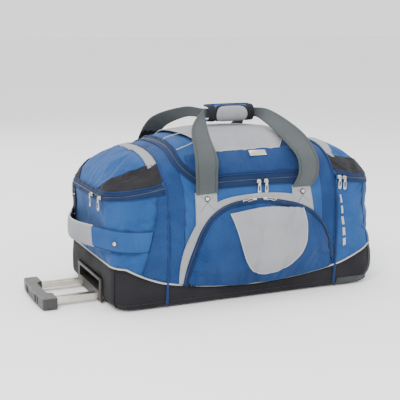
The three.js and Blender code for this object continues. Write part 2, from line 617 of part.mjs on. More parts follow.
function backStrap() {
  const { x, y, z, width } = ANCHOR;
  const half = width / 2;
  const outer = [vector(-x - half, y, z), vector(-x - half, y + 1, z + 42), vector(-x - half + 4, y - 3, z + 86),
    vector(-x - 4, y - 55, z + 138), vector(-70, 62, 418), vector(-40, 7, 417), vector(21, 7, 418),
    vector(82, 7, 417), vector(104, 62, 416), vector(x + 12, y - 55, z + 138), vector(x + half, y - 3, z + 86),
    vector(x + half, y + 1, z + 42), vector(x + half, y, z)];
  const inner = [vector(-x + half, y, z), vector(-x + half, y + 1, z + 42), vector(-x + half + 2, y - 4, z + 78),
    vector(-x + half + 4, y - 58, z + 116), vector(-62, 60, 396), vector(-40, 7, 397), vector(21, 7, 398),
    vector(82, 7, 397), vector(88, 60, 394), vector(x - half, y - 58, z + 116), vector(x - half, y - 4, z + 78),
    vector(x - half, y + 1, z + 42), vector(x - half, y, z)];
  return ribbon(outer, inner, ANCHOR.thickness, 56);
}

// Padded wrap round the front webbing, open along its back so that the back webbing lifts out.
function wrapGrip() {
  const { x, halfLength, y, z, halfY, halfZ, wall } = WRAP;
  const shape = new THREE.Shape();
  const mouth = y + halfY;
  shape.moveTo(mouth, z + halfZ);
  shape.lineTo(y - halfY + 12, z + halfZ);
  shape.quadraticCurveTo(y - halfY, z + halfZ, y - halfY, z + halfZ - 12);
  shape.lineTo(y - halfY, z - halfZ + 12);
  shape.quadraticCurveTo(y - halfY, z - halfZ, y - halfY + 12, z - halfZ);
  shape.lineTo(mouth, z - halfZ);
  shape.lineTo(mouth, z - halfZ + wall);
  shape.lineTo(y - 1, z - halfZ + wall + 1);
  shape.quadraticCurveTo(y - halfY + wall, z - halfZ + wall + 1, y - halfY + wall, z);
  shape.quadraticCurveTo(y - halfY + wall, z + halfZ - wall - 1, y - 1, z + halfZ - wall - 1);
  shape.lineTo(mouth, z + halfZ - wall);
  shape.closePath();
  const geometry = new THREE.ExtrudeGeometry(shape, { depth: 2 * halfLength, bevelEnabled: false, curveSegments: 5 });
  geometry.rotateX(Math.PI / 2);
  geometry.rotateZ(Math.PI / 2);
  geometry.translate(x - halfLength, 0, 0);
  return geometry;
}

addPart('front_strap', frontStrap(), COLOURS.webbing);
addPart('back_strap', backStrap(), COLOURS.webbing);
addPart('wrap_grip', wrapGrip(), COLOURS.blue);

// Domed rivet: a turned cap whose flat back faces the bag.
function rivet(radius, height) {
  const profile = [[0, 0], [radius, 0], [radius, height * 0.5], [radius * 0.6, height], [0, height]];
  return outward(new THREE.LatheGeometry(profile.map(([r, h]) => new THREE.Vector2(r, h)), 14));
}

[['front', -1], ['back', 1]].forEach(([name, side]) => {
  [['left', -1], ['right', 1]].forEach(([hand, across]) => {
    const mesh = addPart(`${name}_${hand}_strap_rivet`, rivet(6, 4), COLOURS.nickel, 0.3, 0.9);
    const z = ANCHOR.z - 13;
    mesh.position.set(across * ANCHOR.x, side * (sideOuter(ANCHOR.x, z) + 1.5), z);
    mesh.rotation.x = side < 0 ? Math.PI : 0;
  });
});

// ---------------------------------------------------------------- grab handle on the handle end
function grabHandle() {
  const { z, height, thickness, standOff } = GRAB;
  const whole = [...standOff, ...standOff.slice(0, -1).reverse().map(([u, off]) => [1 - u, off])];
  const edge = (level) => whole.map(([u, off]) => outlinePoint(u, () => level, -1, -off));
  return ribbon(edge(z + height / 2), edge(z - height / 2), thickness, 44);
}

addPart('grab_handle', grabHandle(), COLOURS.grey);

// ---------------------------------------------------------------- zip sliders and pulls
// A slider sits on the zip at a point, facing outward at an angle about Z; its pull hangs from it.
function addZipper(name, x, y, z, facing) {
  const holder = new THREE.Group();
  holder.position.set(x, y, z);
  holder.rotation.z = facing;
  group.add(holder);
  const slider = addPart(`${name}_slider`, boxBetween(-5, -5.5, -6, 5, 0, 2), COLOURS.nickel, 0.3, 0.9);
  const shape = new THREE.Shape();
  shape.moveTo(-3, 0);
  shape.lineTo(-4.5, -24);
  shape.quadraticCurveTo(-4.5, -30, 0, -30);
  shape.quadraticCurveTo(4.5, -30, 4.5, -24);
  shape.lineTo(3, 0);
  shape.closePath();
  const plate = new THREE.ExtrudeGeometry(shape, { depth: 2.2, bevelEnabled: false, curveSegments: 4 });
  plate.rotateX(Math.PI / 2);
  plate.translate(0, -6, 2);
  const pull = addPart(`${name}_pull`, plate, COLOURS.nickel, 0.3, 0.9);
  holder.add(slider, pull);
}

// A zipper on an end pocket: its place u along the outline gives where it sits and which way it faces.
function addPocketZipper(name, u, side) {
  const here = outlinePoint(u, lipZ, side, -2.2);
  const ahead = outlinePoint(u + 0.004, lipZ, side, -2.2);
  const out = vector(ahead.y - here.y, here.x - ahead.x, 0).multiplyScalar(side).normalize();
  addZipper(name, here.x, here.y, here.z - 1, Math.atan2(out.x, -out.y));
}

addZipper('lid_left', 9, -182.5, 272, 0);
addZipper('lid_right', 27, -182.5, 272, 0);
addPocketZipper('left_front', 0.33, -1);
addPocketZipper('left_end', 0.41, -1);
addPocketZipper('right_near', 0.035, 1);
addPocketZipper('right_far', 0.11, 1);

// ---------------------------------------------------------------- lid label plate
const plate = boxBetween(-21, -1, -7.5, 21, 0, 7.5);
const plateMesh = addPart('label_plate', plate, COLOURS.nickel, 0.4, 0.8);
plateMesh.position.set(22, -152, 327);
plateMesh.rotation.x = -0.75;

// ---------------------------------------------------------------- origin: middle of the box, on the floor
const bounds = new THREE.Box3().setFromObject(group);
group.position.set(-(bounds.min.x + bounds.max.x) / 2, -(bounds.min.y + bounds.max.y) / 2, -bounds.min.z);
group.updateMatrixWorld(true);
export default group;
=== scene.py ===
import functools
import json
import math

import bpy
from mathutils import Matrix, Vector, noise
from mathutils.kdtree import KDTree

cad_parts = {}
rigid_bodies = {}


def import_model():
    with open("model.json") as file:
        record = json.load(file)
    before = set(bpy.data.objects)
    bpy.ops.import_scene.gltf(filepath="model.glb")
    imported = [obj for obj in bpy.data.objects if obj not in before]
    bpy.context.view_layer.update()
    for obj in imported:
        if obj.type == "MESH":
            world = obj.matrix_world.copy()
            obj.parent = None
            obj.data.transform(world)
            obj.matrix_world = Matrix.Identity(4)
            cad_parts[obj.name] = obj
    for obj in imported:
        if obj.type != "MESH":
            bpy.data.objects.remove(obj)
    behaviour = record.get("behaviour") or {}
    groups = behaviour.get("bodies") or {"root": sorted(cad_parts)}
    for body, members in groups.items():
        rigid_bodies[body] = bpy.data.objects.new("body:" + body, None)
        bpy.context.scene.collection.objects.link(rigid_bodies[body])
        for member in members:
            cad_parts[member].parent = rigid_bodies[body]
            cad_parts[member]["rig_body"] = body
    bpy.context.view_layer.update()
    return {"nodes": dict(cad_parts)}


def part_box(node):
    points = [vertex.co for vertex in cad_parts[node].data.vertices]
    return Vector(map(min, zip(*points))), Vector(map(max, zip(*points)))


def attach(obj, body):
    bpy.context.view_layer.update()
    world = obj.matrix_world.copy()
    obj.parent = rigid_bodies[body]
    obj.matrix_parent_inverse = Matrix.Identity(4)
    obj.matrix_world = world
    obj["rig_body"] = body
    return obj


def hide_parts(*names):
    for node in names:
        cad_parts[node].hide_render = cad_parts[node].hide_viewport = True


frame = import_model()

MM = 0.001
BAG = "bag"

# ---------------------------------------------------------------- driving dimensions, metres
HOOP_X = 0.212          # hoop seams between main body and end pockets
HALF_LENGTH = 0.330
HALF_WIDTH = 0.179
BELLY_Y, BELLY_Z = 0.191, 0.150
HOOP_TOP = 0.338
CROWN_Y, CROWN_Z = 0.004, 0.026
ROUND = 2.85            # superellipse power of the shoulders
FLOOR_Z = 0.003
EDGE_MID, EDGE_HOOP, EDGE_END = 0.036, 0.058, 0.098
LIP_HOOP, LIP_END, LIP_X = 0.270, 0.248, 0.337
LID_X, LID_LOW = 0.172, 0.010
LID_TILT = math.radians(35)
LID_ROUND = 0.075
HINGE_Y = 0.127         # fold line at the back of the lid
STRAIGHT, CORNER = 0.14, 0.22   # shares of an end's outline: straight side, then rounded corner
EDGE_X = HOOP_X - 0.0006        # where the main body's cloth ends under the hoop piping
CLOTH = 0.0024                  # thickness of a panel's cloth
BODY_LOW, BODY_HIGH = 0.004, 2.996  # ends of the body section just inside the base piping
HEART = Vector((0, 0, 0.17))    # middle of the bag's bulk: surfaces face away from it
LID_SKIN_X = LID_X - 0.0035     # half width of the lid's skin
LID_PUFF = 0.0035
BADGE_TILT = 0.75
BAND_START = 0.205              # where the grey band begins on a flap's outline
WEBBING = 0.050
ANCHOR_X, ANCHOR_Y, ANCHOR_Z = 0.119, 0.190, 0.252
WRAP_MIDDLE = Vector((0.021, 0.0, 0.407))
RIVET_DRAWN = 0.0065            # rivet radius that the rivet's profile is drawn for
WELL_X, WELL_IN, WELL_OUT, WELL_TOP = 0.236, 0.1275, 0.172, 0.090   # wheel cut in the base
WHEEL_X, WHEEL_Y, WHEEL_R, WHEEL_HALF, HUB_R = 0.286, 0.150, 0.040, 0.0125, 0.027
TUBE_Y, TUBE_Z = 0.061, 0.0145


def middle_of(node):
    low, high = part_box(node)
    return (Vector(low) + Vector(high)) / 2


# The bag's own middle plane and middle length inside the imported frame.
channel_y = (middle_of("front_channel").y + middle_of("back_channel").y) / 2
divider_x = (middle_of("left_divider").x + middle_of("right_divider").x) / 2
ORIGIN = Vector((divider_x, channel_y, 0.0))


def at(x, y, z):
    """A point given from the bag's middle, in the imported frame."""
    return ORIGIN + Vector((x, y, z))


# ---------------------------------------------------------------- outline formulas
def crown(x):
    """How strongly the middle of the bag swells at station x: 1 in the middle, 0 at the hoops."""
    return 1 - min(1, abs(x / HOOP_X)) ** 2.5


def side_y(x, z):
    """Half width of the main body below its shoulders."""
    below = max(0, (BELLY_Z - z) / BELLY_Z)
    return BELLY_Y + CROWN_Y * crown(x) - (BELLY_Y - HALF_WIDTH) * below ** 2


def outer_y(x, z):
    """Outer half width of the main body at any height."""
    if z <= BELLY_Z:
        return side_y(x, z)
    rise = HOOP_TOP + CROWN_Z * crown(x) - BELLY_Z
    share = min(1, (z - BELLY_Z) / rise)
    return side_y(x, BELLY_Z) * (1 - share ** ROUND) ** (1 / ROUND)


def body_point(x, v):
    """v 0..1 climbs the front, 1..2 goes over the top, 2..3 goes down the back."""
    low = edge_z(x)
    if v < 1 or v > 2:
        share = v if v < 1 else 3 - v
        z = low + (BELLY_Z - low) * share
        return Vector((x, (-1 if v < 1 else 1) * side_y(x, z), z))
    angle = (v - 1) * math.pi
    reach = side_y(x, BELLY_Z)
    rise = HOOP_TOP + CROWN_Z * crown(x) - BELLY_Z
    c, s = math.cos(angle), math.sin(angle)
    y = -math.copysign(reach * abs(c) ** (2 / ROUND), c)
    return Vector((x, y, BELLY_Z + rise * max(0, s) ** (2 / ROUND)))


def edge_z(x):
    """Height of the white piping along the base."""
    far = abs(x)
    if far <= HOOP_X:
        return EDGE_MID + (EDGE_HOOP - EDGE_MID) * (far / HOOP_X) ** 2
    share = min(1, (far - HOOP_X) / (HALF_LENGTH - 0.025 - HOOP_X))
    return EDGE_HOOP + (EDGE_END - EDGE_HOOP) * share ** 1.3


def lip_z(x):
    """Height of an end pocket's zip line."""
    return LIP_HOOP - (LIP_HOOP - LIP_END) * ((abs(x) - HOOP_X) / (LIP_X - HOOP_X))


def foot_inset(z, round_size):
    """How far the rounded lower edge draws in near the floor."""
    under = min(1, max(0, (round_size - (z - FLOOR_Z)) / round_size))
    return round_size * (1 - math.sqrt(1 - under ** 2))


def end_x(z, side):
    """Where the end face stands at a height; the wheel end is rounder at the foot."""
    if z > 0.180:
        waist = 0.011 * min(1, (z - 0.180) / 0.070) ** 2
    else:
        waist = 0.004 * min(1, (0.180 - z) / 0.120) ** 2
    return HALF_LENGTH - 0.004 + waist - foot_inset(z, 0.046 if side > 0 else 0.022)


def width_y(z):
    """Half width of an end at a height."""
    top = 0.008 * ((z - BELLY_Z) / 0.112) ** 2 if z > BELLY_Z else 0
    return side_y(HOOP_X, z) - foot_inset(z, 0.012) - top


def outline(u, height, side, inset=0.0):
    """Half outline of one end, u 0..1 from the front hoop round to the back hoop."""
    folded = 1 - u if u > 0.5 else u
    z = height(HOOP_X)
    x = y = 0.0
    for _ in range(3):
        length = end_x(z, side) - inset
        width = width_y(z) - inset
        radius = 0.038 + 0.057 * (max(0, z) / 0.250) ** 1.5 - inset
        if folded < STRAIGHT:
            x = HOOP_X + 0.0002 + (length - radius - HOOP_X) * (folded / STRAIGHT)
            y = -width
        elif folded < STRAIGHT + CORNER:
            angle = (folded - STRAIGHT) / CORNER * math.pi / 2
            x = length - radius + radius * math.sin(angle)
            y = -(width - radius) - radius * math.cos(angle)
        else:
            x = length
            y = -(width - radius) * (1 - (folded - STRAIGHT - CORNER) / (0.5 - STRAIGHT - CORNER))
        z = height(x)
    return Vector((side * x, -y if u > 0.5 else y, z))


def wall_point(u, v, side):
    """End pocket wall: v 0 at the base piping, 1 at the zip."""
    return outline(u, lambda x: edge_z(x) + (lip_z(x) - edge_z(x)) * v, side)


FLAP_START = math.asin(((LIP_HOOP - BELLY_Z) / (HOOP_TOP - BELLY_Z)) ** (ROUND / 2))


def flap_point(u, v, side):
    """End pocket flap: v 0 at the zip, 1 at the hoop seam."""
    low = outline(u, lambda x: lip_z(x) + 0.0004, side)
    share = (FLAP_START + (math.pi - 2 * FLAP_START) * u) / math.pi
    high = body_point(side * (HOOP_X + 0.0002), 1 + share)
    swell = math.sin(math.pi * v) * math.sin(math.pi * u) ** 0.6 if 0 < u < 1 else 0
    return low.lerp(high, v) + Vector((side * 0.012 * swell, 0, 0.017 * swell))


def tilted(point):
    """Coordinate up the lid's leaning face, used to place its trims."""
    return point.y * math.cos(LID_TILT) + point.z * math.sin(LID_TILT)


# ---------------------------------------------------------------- mesh helpers
def wrinkle(point, size, depth, stretch=(1, 1, 1), seed=0.0):
    """Soft folds: low noise, stretched along one direction."""
    p = Vector((point.x * stretch[0], point.y * stretch[1], point.z * stretch[2])) / size
    return depth * noise.noise(p + Vector((seed, seed * 1.7, -seed)))


def relief(rows, amount):
    """Moves each point of a grid along its own normal by amount(point, i, j)."""
    n, m = len(rows), len(rows[0])
    out = []
    for i in range(n):
        line = []
        for j in range(m):
            across = rows[min(i + 1, n - 1)][j] - rows[max(i - 1, 0)][j]
            along = rows[i][min(j + 1, m - 1)] - rows[i][max(j - 1, 0)]
            normal = along.cross(across)
            if normal.length < 1e-12:
                line.append(rows[i][j].copy())
                continue
            line.append(rows[i][j] + normal.normalized() * amount(rows[i][j], i, j))
        out.append(line)
    return out


def new_object(name, verts, faces, material, smooth=True):
    mesh = bpy.data.meshes.new(name)
    mesh.from_pydata([tuple(v) for v in verts], [], faces)
    mesh.validate()
    mesh.update()
    if smooth:
        mesh.polygons.foreach_set("use_smooth", [True] * len(mesh.polygons))
    obj = bpy.data.objects.new(name, mesh)
    bpy.context.scene.collection.objects.link(obj)
    if material:
        mesh.materials.append(material)
    return obj


def thicken(obj, thickness, offset=-1):
    """Gives a skin its thickness: inward by default, outward with offset 1, both ways with 0."""
    solid = obj.modifiers.new("thickness", "SOLIDIFY")
    solid.thickness, solid.offset = thickness, offset
    return solid


def soften(obj, width, segments):
    """Rounds a piece's sharp edges and leaves its flat joins alone."""
    made = obj.modifiers.new("edges", "BEVEL")
    made.width, made.segments, made.limit_method = width, segments, "ANGLE"
    return made


def grid(name, rows, material, thickness=0.0, closed=False, body=BAG, outward=1):
    """Grid surface from rows of points measured from the bag's middle."""
    n, m = len(rows), len(rows[0])
    verts = [at(*p) for row in rows for p in row]
    faces = []
    for i in range(n - 1):
        for j in range(m if closed else m - 1):
            a, b = i * m + j, i * m + (j + 1) % m
            faces.append((a, b, b + m, a + m) if outward > 0 else (a + m, b + m, b, a))
    obj = new_object(name, verts, faces, material)
    if thickness:
        solid = thicken(obj, thickness)
        if material.name != LINING.name:
            obj.data.materials.append(LINING)
            solid.material_offset = 1
    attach(obj, body)
    return obj


def smooth_path(points, count, closed=False):
    """Catmull-Rom through the points, resampled evenly by parameter."""
    points = [Vector(p) for p in points]
    n = len(points)
    spans = n if closed else n - 1
    out = []
    for k in range(count + (0 if closed else 1)):
        t = k / count * spans
        i = min(int(t), spans - 1)
        f = t - i
        if closed:
            p0, p1, p2, p3 = (points[(i + d) % n] for d in (-1, 0, 1, 2))
        else:
            p0, p1 = points[max(i - 1, 0)], points[i]
            p2, p3 = points[min(i + 1, n - 1)], points[min(i + 2, n - 1)]
        out.append(0.5 * ((2 * p1) + (p2 - p0) * f + (2 * p0 - 5 * p1 + 4 * p2 - p3) * f * f
                          + (3 * p1 - p0 - 3 * p2 + p3) * f ** 3))
    return out


def cord_mesh(name, path, radius, material, body=BAG, sides=8, closed=False, oval=1.0):
    """A round tube along a path measured from the bag's middle: piping, loops and stitches."""
    n = len(path)
    verts, faces = [], []
    side = None
    for i, p in enumerate(path):
        ahead = path[(i + 1) % n] if closed else path[min(i + 1, n - 1)]
        behind = path[i - 1] if closed else path[max(i - 1, 0)]
        along = (ahead - behind).normalized()
        side = along.orthogonal() if side is None else side - along * side.dot(along)
        side.normalize()
        up = along.cross(side)
        for k in range(sides):
            a = 2 * math.pi * k / sides
            verts.append(at(*(p + (side * math.cos(a) + up * math.sin(a) * oval) * radius)))
    for i in range(n if closed else n - 1):
        for k in range(sides):
            a, b = i * sides + k, i * sides + (k + 1) % sides
            c, d = (b + sides) % (n * sides), (a + sides) % (n * sides)
            faces.append((a, b, c, d))
    if not closed:
        faces.append(tuple(reversed(range(sides))))
        faces.append(tuple(range((n - 1) * sides, n * sides)))
    obj = new_object(name, verts, faces, material)
    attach(obj, body)
    return obj


def lifted(surface, a, b, lift):
    """Point of a surface(a, b), raised along its outward normal."""
    d = 0.0015
    p = surface(a, b)
    normal = (surface(a + d, b) - surface(a - d, b)).cross(surface(a, b + d) - surface(a, b - d))
    if normal.length < 1e-14:
        return p
    normal.normalize()
    if normal.dot(p - HEART) < 0:
        normal.negate()
    return p + normal * lift


def patch(name, edge_a, edge_b, surface, lift, steps, across, material, thickness=0.0007, body=BAG, puff=0.0):
    """A sewn-on patch between two edge curves given in the surface's own coordinates."""
    a_path = smooth_path([(*p, 0) for p in edge_a], steps)
    b_path = smooth_path([(*p, 0) for p in edge_b], steps)
    rows = []
    for i in range(across + 1):
        t = i / across
        line = []
        for j, (a, b) in enumerate(zip(a_path, b_path)):
            q = a.lerp(b, t)
            s = j / steps
            swell = puff * (math.sin(math.pi * t) * math.sin(math.pi * s)) ** 0.5 if puff else 0
            line.append(lifted(surface, q.x, q.y, lift + swell))
        rows.append(line)
    obj = grid(name, rows, material, body=body)
    thicken(obj, thickness + lift * 0.8)
    return face_away(obj)


def face_away(obj):
    """Turns a surface patch round when its faces look into the bag."""
    centre = ORIGIN + HEART
    score = sum((p.center - centre).dot(p.normal) * p.area for p in obj.data.polygons)
    if score < 0:
        obj.data.flip_normals()
    return obj


def surface_path(points, surface, lift, count):
    return [lifted(surface, p.x, p.y, lift) for p in smooth_path([(*q, 0) for q in points], count)]


# ---------------------------------------------------------------- shared shader groups
def link_node(tree, kind, settings=None, **inputs):
    """Adds a node; inputs are given by index (i0=...) as a value or another node's output."""
    made = tree.nodes.new(kind)
    for key, value in (settings or {}).items():
        setattr(made, key, value)
    for key, value in inputs.items():
        socket = made.inputs[int(key[1:])]
        if isinstance(value, bpy.types.NodeSocket):
            tree.links.new(value, socket)
        else:
            socket.default_value = value
    return made


def calc(tree, operation, a, b=0.0, c=0.0):
    return link_node(tree, "ShaderNodeMath", {"operation": operation}, i0=a, i1=b, i2=c).outputs[0]


def new_group(name, inputs, outputs):
    tree = bpy.data.node_groups.new(name, "ShaderNodeTree")
    for label, value in inputs:
        socket = tree.interface.new_socket(name=label, in_out="INPUT", socket_type="NodeSocketFloat")
        socket.default_value = value
    for label, kind in outputs:
        tree.interface.new_socket(name=label, in_out="OUTPUT", socket_type=kind)
    return tree, tree.nodes.new("NodeGroupInput").outputs, tree.nodes.new("NodeGroupOutput").inputs


def flat_place(tree):
    """Two object-space coordinates across the face, picked by the object-space normal."""
    where = tree.nodes.new("ShaderNodeTexCoord")
    p = link_node(tree, "ShaderNodeSeparateXYZ", None, i0=where.outputs["Object"]).outputs
    n = link_node(tree, "ShaderNodeSeparateXYZ", None, i0=where.outputs["Normal"]).outputs
    steep = calc(tree, "GREATER_THAN", calc(tree, "ABSOLUTE", n[2]), 0.66)
    sideways = calc(tree, "GREATER_THAN", calc(tree, "ABSOLUTE", n[0]), calc(tree, "ABSOLUTE", n[1]))
    sideways = calc(tree, "MULTIPLY", sideways, calc(tree, "SUBTRACT", 1.0, steep))
    a = calc(tree, "ADD", calc(tree, "MULTIPLY", p[1], sideways),
             calc(tree, "MULTIPLY", p[0], calc(tree, "SUBTRACT", 1.0, sideways)))
    b = calc(tree, "ADD", calc(tree, "MULTIPLY", p[1], steep),
             calc(tree, "MULTIPLY", p[2], calc(tree, "SUBTRACT", 1.0, steep)))
    return where.outputs["Object"], a, b


def weave_group():
    tree, given, out = new_group("Cloth weave", [("Threads", 900.0)], [("Height", "NodeSocketFloat")])
    _, a, b = flat_place(tree)
    turn = calc(tree, "MULTIPLY", given["Threads"], 2 * math.pi)
    warp = calc(tree, "SINE", calc(tree, "MULTIPLY", a, turn))
    weft = calc(tree, "SINE", calc(tree, "MULTIPLY", b, turn))
    tree.links.new(calc(tree, "MULTIPLY_ADD", calc(tree, "MULTIPLY", warp, weft), 0.5, 0.5), out["Height"])
    return tree


def ripstop_group():
    tree, given, out = new_group("Ripstop grid", [("Pitch", 0.0062), ("Lean", 0.62)],
                                 [("Lines", "NodeSocketFloat")])
    _, a, b = flat_place(tree)
    leaned = calc(tree, "MULTIPLY", b, given["Lean"])
    lines = []
    for way in ("ADD", "SUBTRACT"):
        phase = calc(tree, "DIVIDE", calc(tree, way, a, leaned), given["Pitch"])
        near = calc(tree, "PINGPONG", phase, 0.5)
        lines.append(link_node(tree, "ShaderNodeMapRange", {"interpolation_type": "SMOOTHSTEP"},
                               i0=near, i1=0.0, i2=0.17, i3=1.0, i4=0.0).outputs[0])
    tree.links.new(calc(tree, "MAXIMUM", *lines), out["Lines"])
    return tree


def twill_group():
    tree, given, out = new_group("Twill ribs", [("Ribs", 420.0)], [("Height", "NodeSocketFloat")])
    _, a, b = flat_place(tree)
    zigzag = calc(tree, "PINGPONG", b, 0.003)
    phase = calc(tree, "MULTIPLY", calc(tree, "ADD", a, zigzag), calc(tree, "MULTIPLY", given["Ribs"], 2 * math.pi))
    tree.links.new(calc(tree, "MULTIPLY_ADD", calc(tree, "SINE", phase), 0.5, 0.5), out["Height"])
    return tree


def noise_group(name, scale, detail, stretch=(1, 1, 1)):
    tree, given, out = new_group(name, [("Scale", scale)], [("Value", "NodeSocketFloat")])
    where = tree.nodes.new("ShaderNodeTexCoord")
    mapped = link_node(tree, "ShaderNodeVectorMath", {"operation": "MULTIPLY"}, i0=where.outputs["Object"])
    mapped.inputs[1].default_value = stretch
    made = tree.nodes.new("ShaderNodeTexNoise")
    tree.links.new(mapped.outputs[0], made.inputs["Vector"])
    tree.links.new(given["Scale"], made.inputs["Scale"])
    made.inputs["Detail"].default_value = detail
    tree.links.new(made.outputs["Fac"], out["Value"])
    return tree


GROUPS = {
    "weave": weave_group(), "ripstop": ripstop_group(), "twill": twill_group(),
    "fibre": noise_group("Fibre fleck", 1500.0, 2.0),
    "wear": noise_group("Handling wear", 14.0, 5.0),
    "crease": noise_group("Fine creases", 34.0, 3.0, (1, 1, 0.45)),
    "grain": noise_group("Moulded grain", 1300.0, 1.0),
    "brush": noise_group("Brushed lines", 700.0, 2.0, (0.012, 1, 1)),
}


def linear(rgb, depth=1.0):
    """sRGB 0..255 to the linear values a shader takes, deepened for bright studio light."""
    return tuple(depth * (c / 255 / 12.92 if c <= 10 else ((c / 255 + 0.055) / 1.055) ** 2.4) for c in rgb) + (1.0,)


def shader(name):
    made = bpy.data.materials.new(name)
    made.use_nodes = True
    tree = made.node_tree
    bsdf = next(n for n in tree.nodes if n.type == "BSDF_PRINCIPLED")
    return made, tree, bsdf


def use(tree, group, **values):
    made = tree.nodes.new("ShaderNodeGroup")
    made.node_tree = GROUPS[group]
    for key, value in values.items():
        made.inputs[key].default_value = value
    return made.outputs[0]


def mixed(tree, factor, a, b):
    made = tree.nodes.new("ShaderNodeMix")
    made.data_type = "RGBA"
    for socket, value in ((made.inputs[0], factor), (made.inputs[6], a), (made.inputs[7], b)):
        if isinstance(value, bpy.types.NodeSocket):
            tree.links.new(value, socket)
        else:
            socket.default_value = value
    return made.outputs[2]


def spread(tree, value, low, high, out_low, out_high):
    return link_node(tree, "ShaderNodeMapRange", None, i0=value, i1=low, i2=high, i3=out_low,
                     i4=out_high).outputs[0]


def bumped(tree, bsdf, *layers):
    """Stacks bump layers (height output, depth in metres) into the normal."""
    last = None
    for height, depth in layers:
        made = tree.nodes.new("ShaderNodeBump")
        made.inputs["Strength"].default_value = 1.0
        made.inputs["Distance"].default_value = depth
        tree.links.new(height, made.inputs["Height"])
        if last:
            tree.links.new(last, made.inputs["Normal"])
        last = made.outputs[0]
    tree.links.new(last, bsdf.inputs["Normal"])


DYE = 0.42              # depth of the dyed cloth colours


def cloth(name, colour, deep, light, rough=0.78, ripstop=0.0, threads=900.0, weave_depth=0.00012,
          sheen=0.05, twill=0.0, pitch=0.0062, crease=0.0006):
    """Woven cloth: fibre fleck and wear in the colour; weave, ripstop and fine creases in the bump."""
    colour, deep, light = (linear(c, DYE) for c in (colour, deep, light))
    made, tree, bsdf = shader(name)
    fleck = spread(tree, use(tree, "fibre"), 0.35, 0.68, 0.0, 1.0)
    wear = spread(tree, use(tree, "wear"), 0.36, 0.66, 0.0, 1.0)
    tone = mixed(tree, wear, colour, deep)
    tone = mixed(tree, calc(tree, "MULTIPLY", fleck, 0.45), tone, light)
    layers = [(use(tree, "crease"), crease), (use(tree, "weave", Threads=threads), weave_depth)]
    if ripstop:
        lines = use(tree, "ripstop", Pitch=pitch)
        tone = mixed(tree, calc(tree, "MULTIPLY", lines, ripstop), tone, deep)
        layers.append((lines, -0.00035))
    if twill:
        ribs = use(tree, "twill")
        tone = mixed(tree, calc(tree, "MULTIPLY", ribs, twill), deep, tone)
        layers.append((ribs, 0.0004))
    tree.links.new(tone, bsdf.inputs["Base Color"])
    tree.links.new(spread(tree, wear, 0.0, 1.0, rough - 0.06, rough + 0.08), bsdf.inputs["Roughness"])
    bsdf.inputs["Sheen Weight"].default_value = sheen
    bsdf.inputs["Sheen Roughness"].default_value = 0.45
    bsdf.inputs["Specular IOR Level"].default_value = 0.22
    bumped(tree, bsdf, *layers)
    return made


def moulded(name, colour, deep, rough, grain=0.00006, coat=0.0):
    """Moulded plastic or rubber: fine grain, slight scuffs that lighten and roughen it."""
    made, tree, bsdf = shader(name)
    wear = spread(tree, use(tree, "wear", Scale=32.0), 0.42, 0.7, 0.0, 1.0)
    tree.links.new(mixed(tree, wear, linear(colour), linear(deep)), bsdf.inputs["Base Color"])
    tree.links.new(spread(tree, wear, 0.0, 1.0, rough, rough + 0.12), bsdf.inputs["Roughness"])
    bsdf.inputs["Coat Weight"].default_value = coat
    bumped(tree, bsdf, (use(tree, "grain"), grain))
    return made


def metal(name, colour, deep, rough, brushed=0.00002):
    made, tree, bsdf = shader(name)
    lines = use(tree, "brush")
    wear = spread(tree, use(tree, "wear", Scale=40.0), 0.4, 0.7, 0.0, 1.0)
    tree.links.new(mixed(tree, wear, linear(colour), linear(deep)), bsdf.inputs["Base Color"])
    tree.links.new(spread(tree, lines, 0.3, 0.7, rough - 0.05, rough + 0.1), bsdf.inputs["Roughness"])
    bsdf.inputs["Metallic"].default_value = 1.0
    bumped(tree, bsdf, (lines, brushed))
    return made


BLUE = cloth("blue_cloth", (45, 106, 184), (35, 90, 163), (76, 136, 208))
RIPSTOP = cloth("blue_ripstop", (34, 90, 162), (20, 64, 130), (60, 118, 188), ripstop=0.75)
DEEP_RIPSTOP = cloth("deep_ripstop", (35, 87, 158), (23, 63, 126), (59, 113, 182), ripstop=0.7)
DEEP = cloth("deep_blue_cloth", (34, 78, 144), (26, 62, 120), (54, 102, 168))
PIPING_BLUE = cloth("blue_piping", (28, 68, 134), (22, 54, 110), (48, 92, 158), threads=1300, crease=0.0001)
TAPE = cloth("zip_tape", (32, 70, 126), (24, 54, 102), (50, 90, 148), threads=1100, twill=0.5, crease=0.0001)
GREY = cloth("grey_cloth", (206, 207, 214), (190, 191, 199), (228, 229, 234), threads=700, sheen=0.03)
BLACK = cloth("black_cloth", (44, 43, 49), (34, 33, 39), (64, 63, 69), threads=650, weave_depth=0.0002, sheen=0.02)
PIPING_WHITE = cloth("white_piping", (252, 252, 248), (240, 240, 236), (255, 255, 252), threads=1300, crease=0.0001)
STRAP = cloth("strap_webbing", (128, 136, 138), (104, 112, 114), (156, 162, 163), threads=500, twill=0.75,
              crease=0.0001,
              weave_depth=0.0003, sheen=0.03)
# Dark grey-black for the carry loops: painted shade on their inner face, and the real colour of their stitching.
STRAP_SHADE_AND_THREAD = cloth("strap_lining", (44, 45, 49), (32, 33, 37), (66, 67, 71), threads=500, twill=0.5, crease=0.0001)
LINING = cloth("dark_lining", (52, 54, 62), (42, 44, 52), (72, 74, 82))
MESH = cloth("pocket_ripstop_grey", (150, 152, 160), (134, 136, 145), (178, 180, 188), ripstop=0.5)
COIL = moulded("zip_coil", (26, 40, 66), (40, 56, 84), 0.42)
GRIP = moulded("grip_plastic", (34, 34, 32), (45, 45, 42), 0.42, coat=0.15)
BEZEL_FINISH = moulded("bezel_plastic", (25, 25, 23), (36, 36, 33), 0.46, coat=0.1)
SLATE = moulded("slate_plastic", (32, 38, 41), (44, 50, 53), 0.5)
RUBBER = moulded("tyre_rubber", (34, 34, 36), (46, 46, 48), 0.72, grain=0.00012)
ALLOY = metal("tube_alloy", (214, 207, 194), (196, 189, 176), 0.3)
NICKEL = metal("nickel", (206, 203, 195), (180, 176, 168), 0.24)
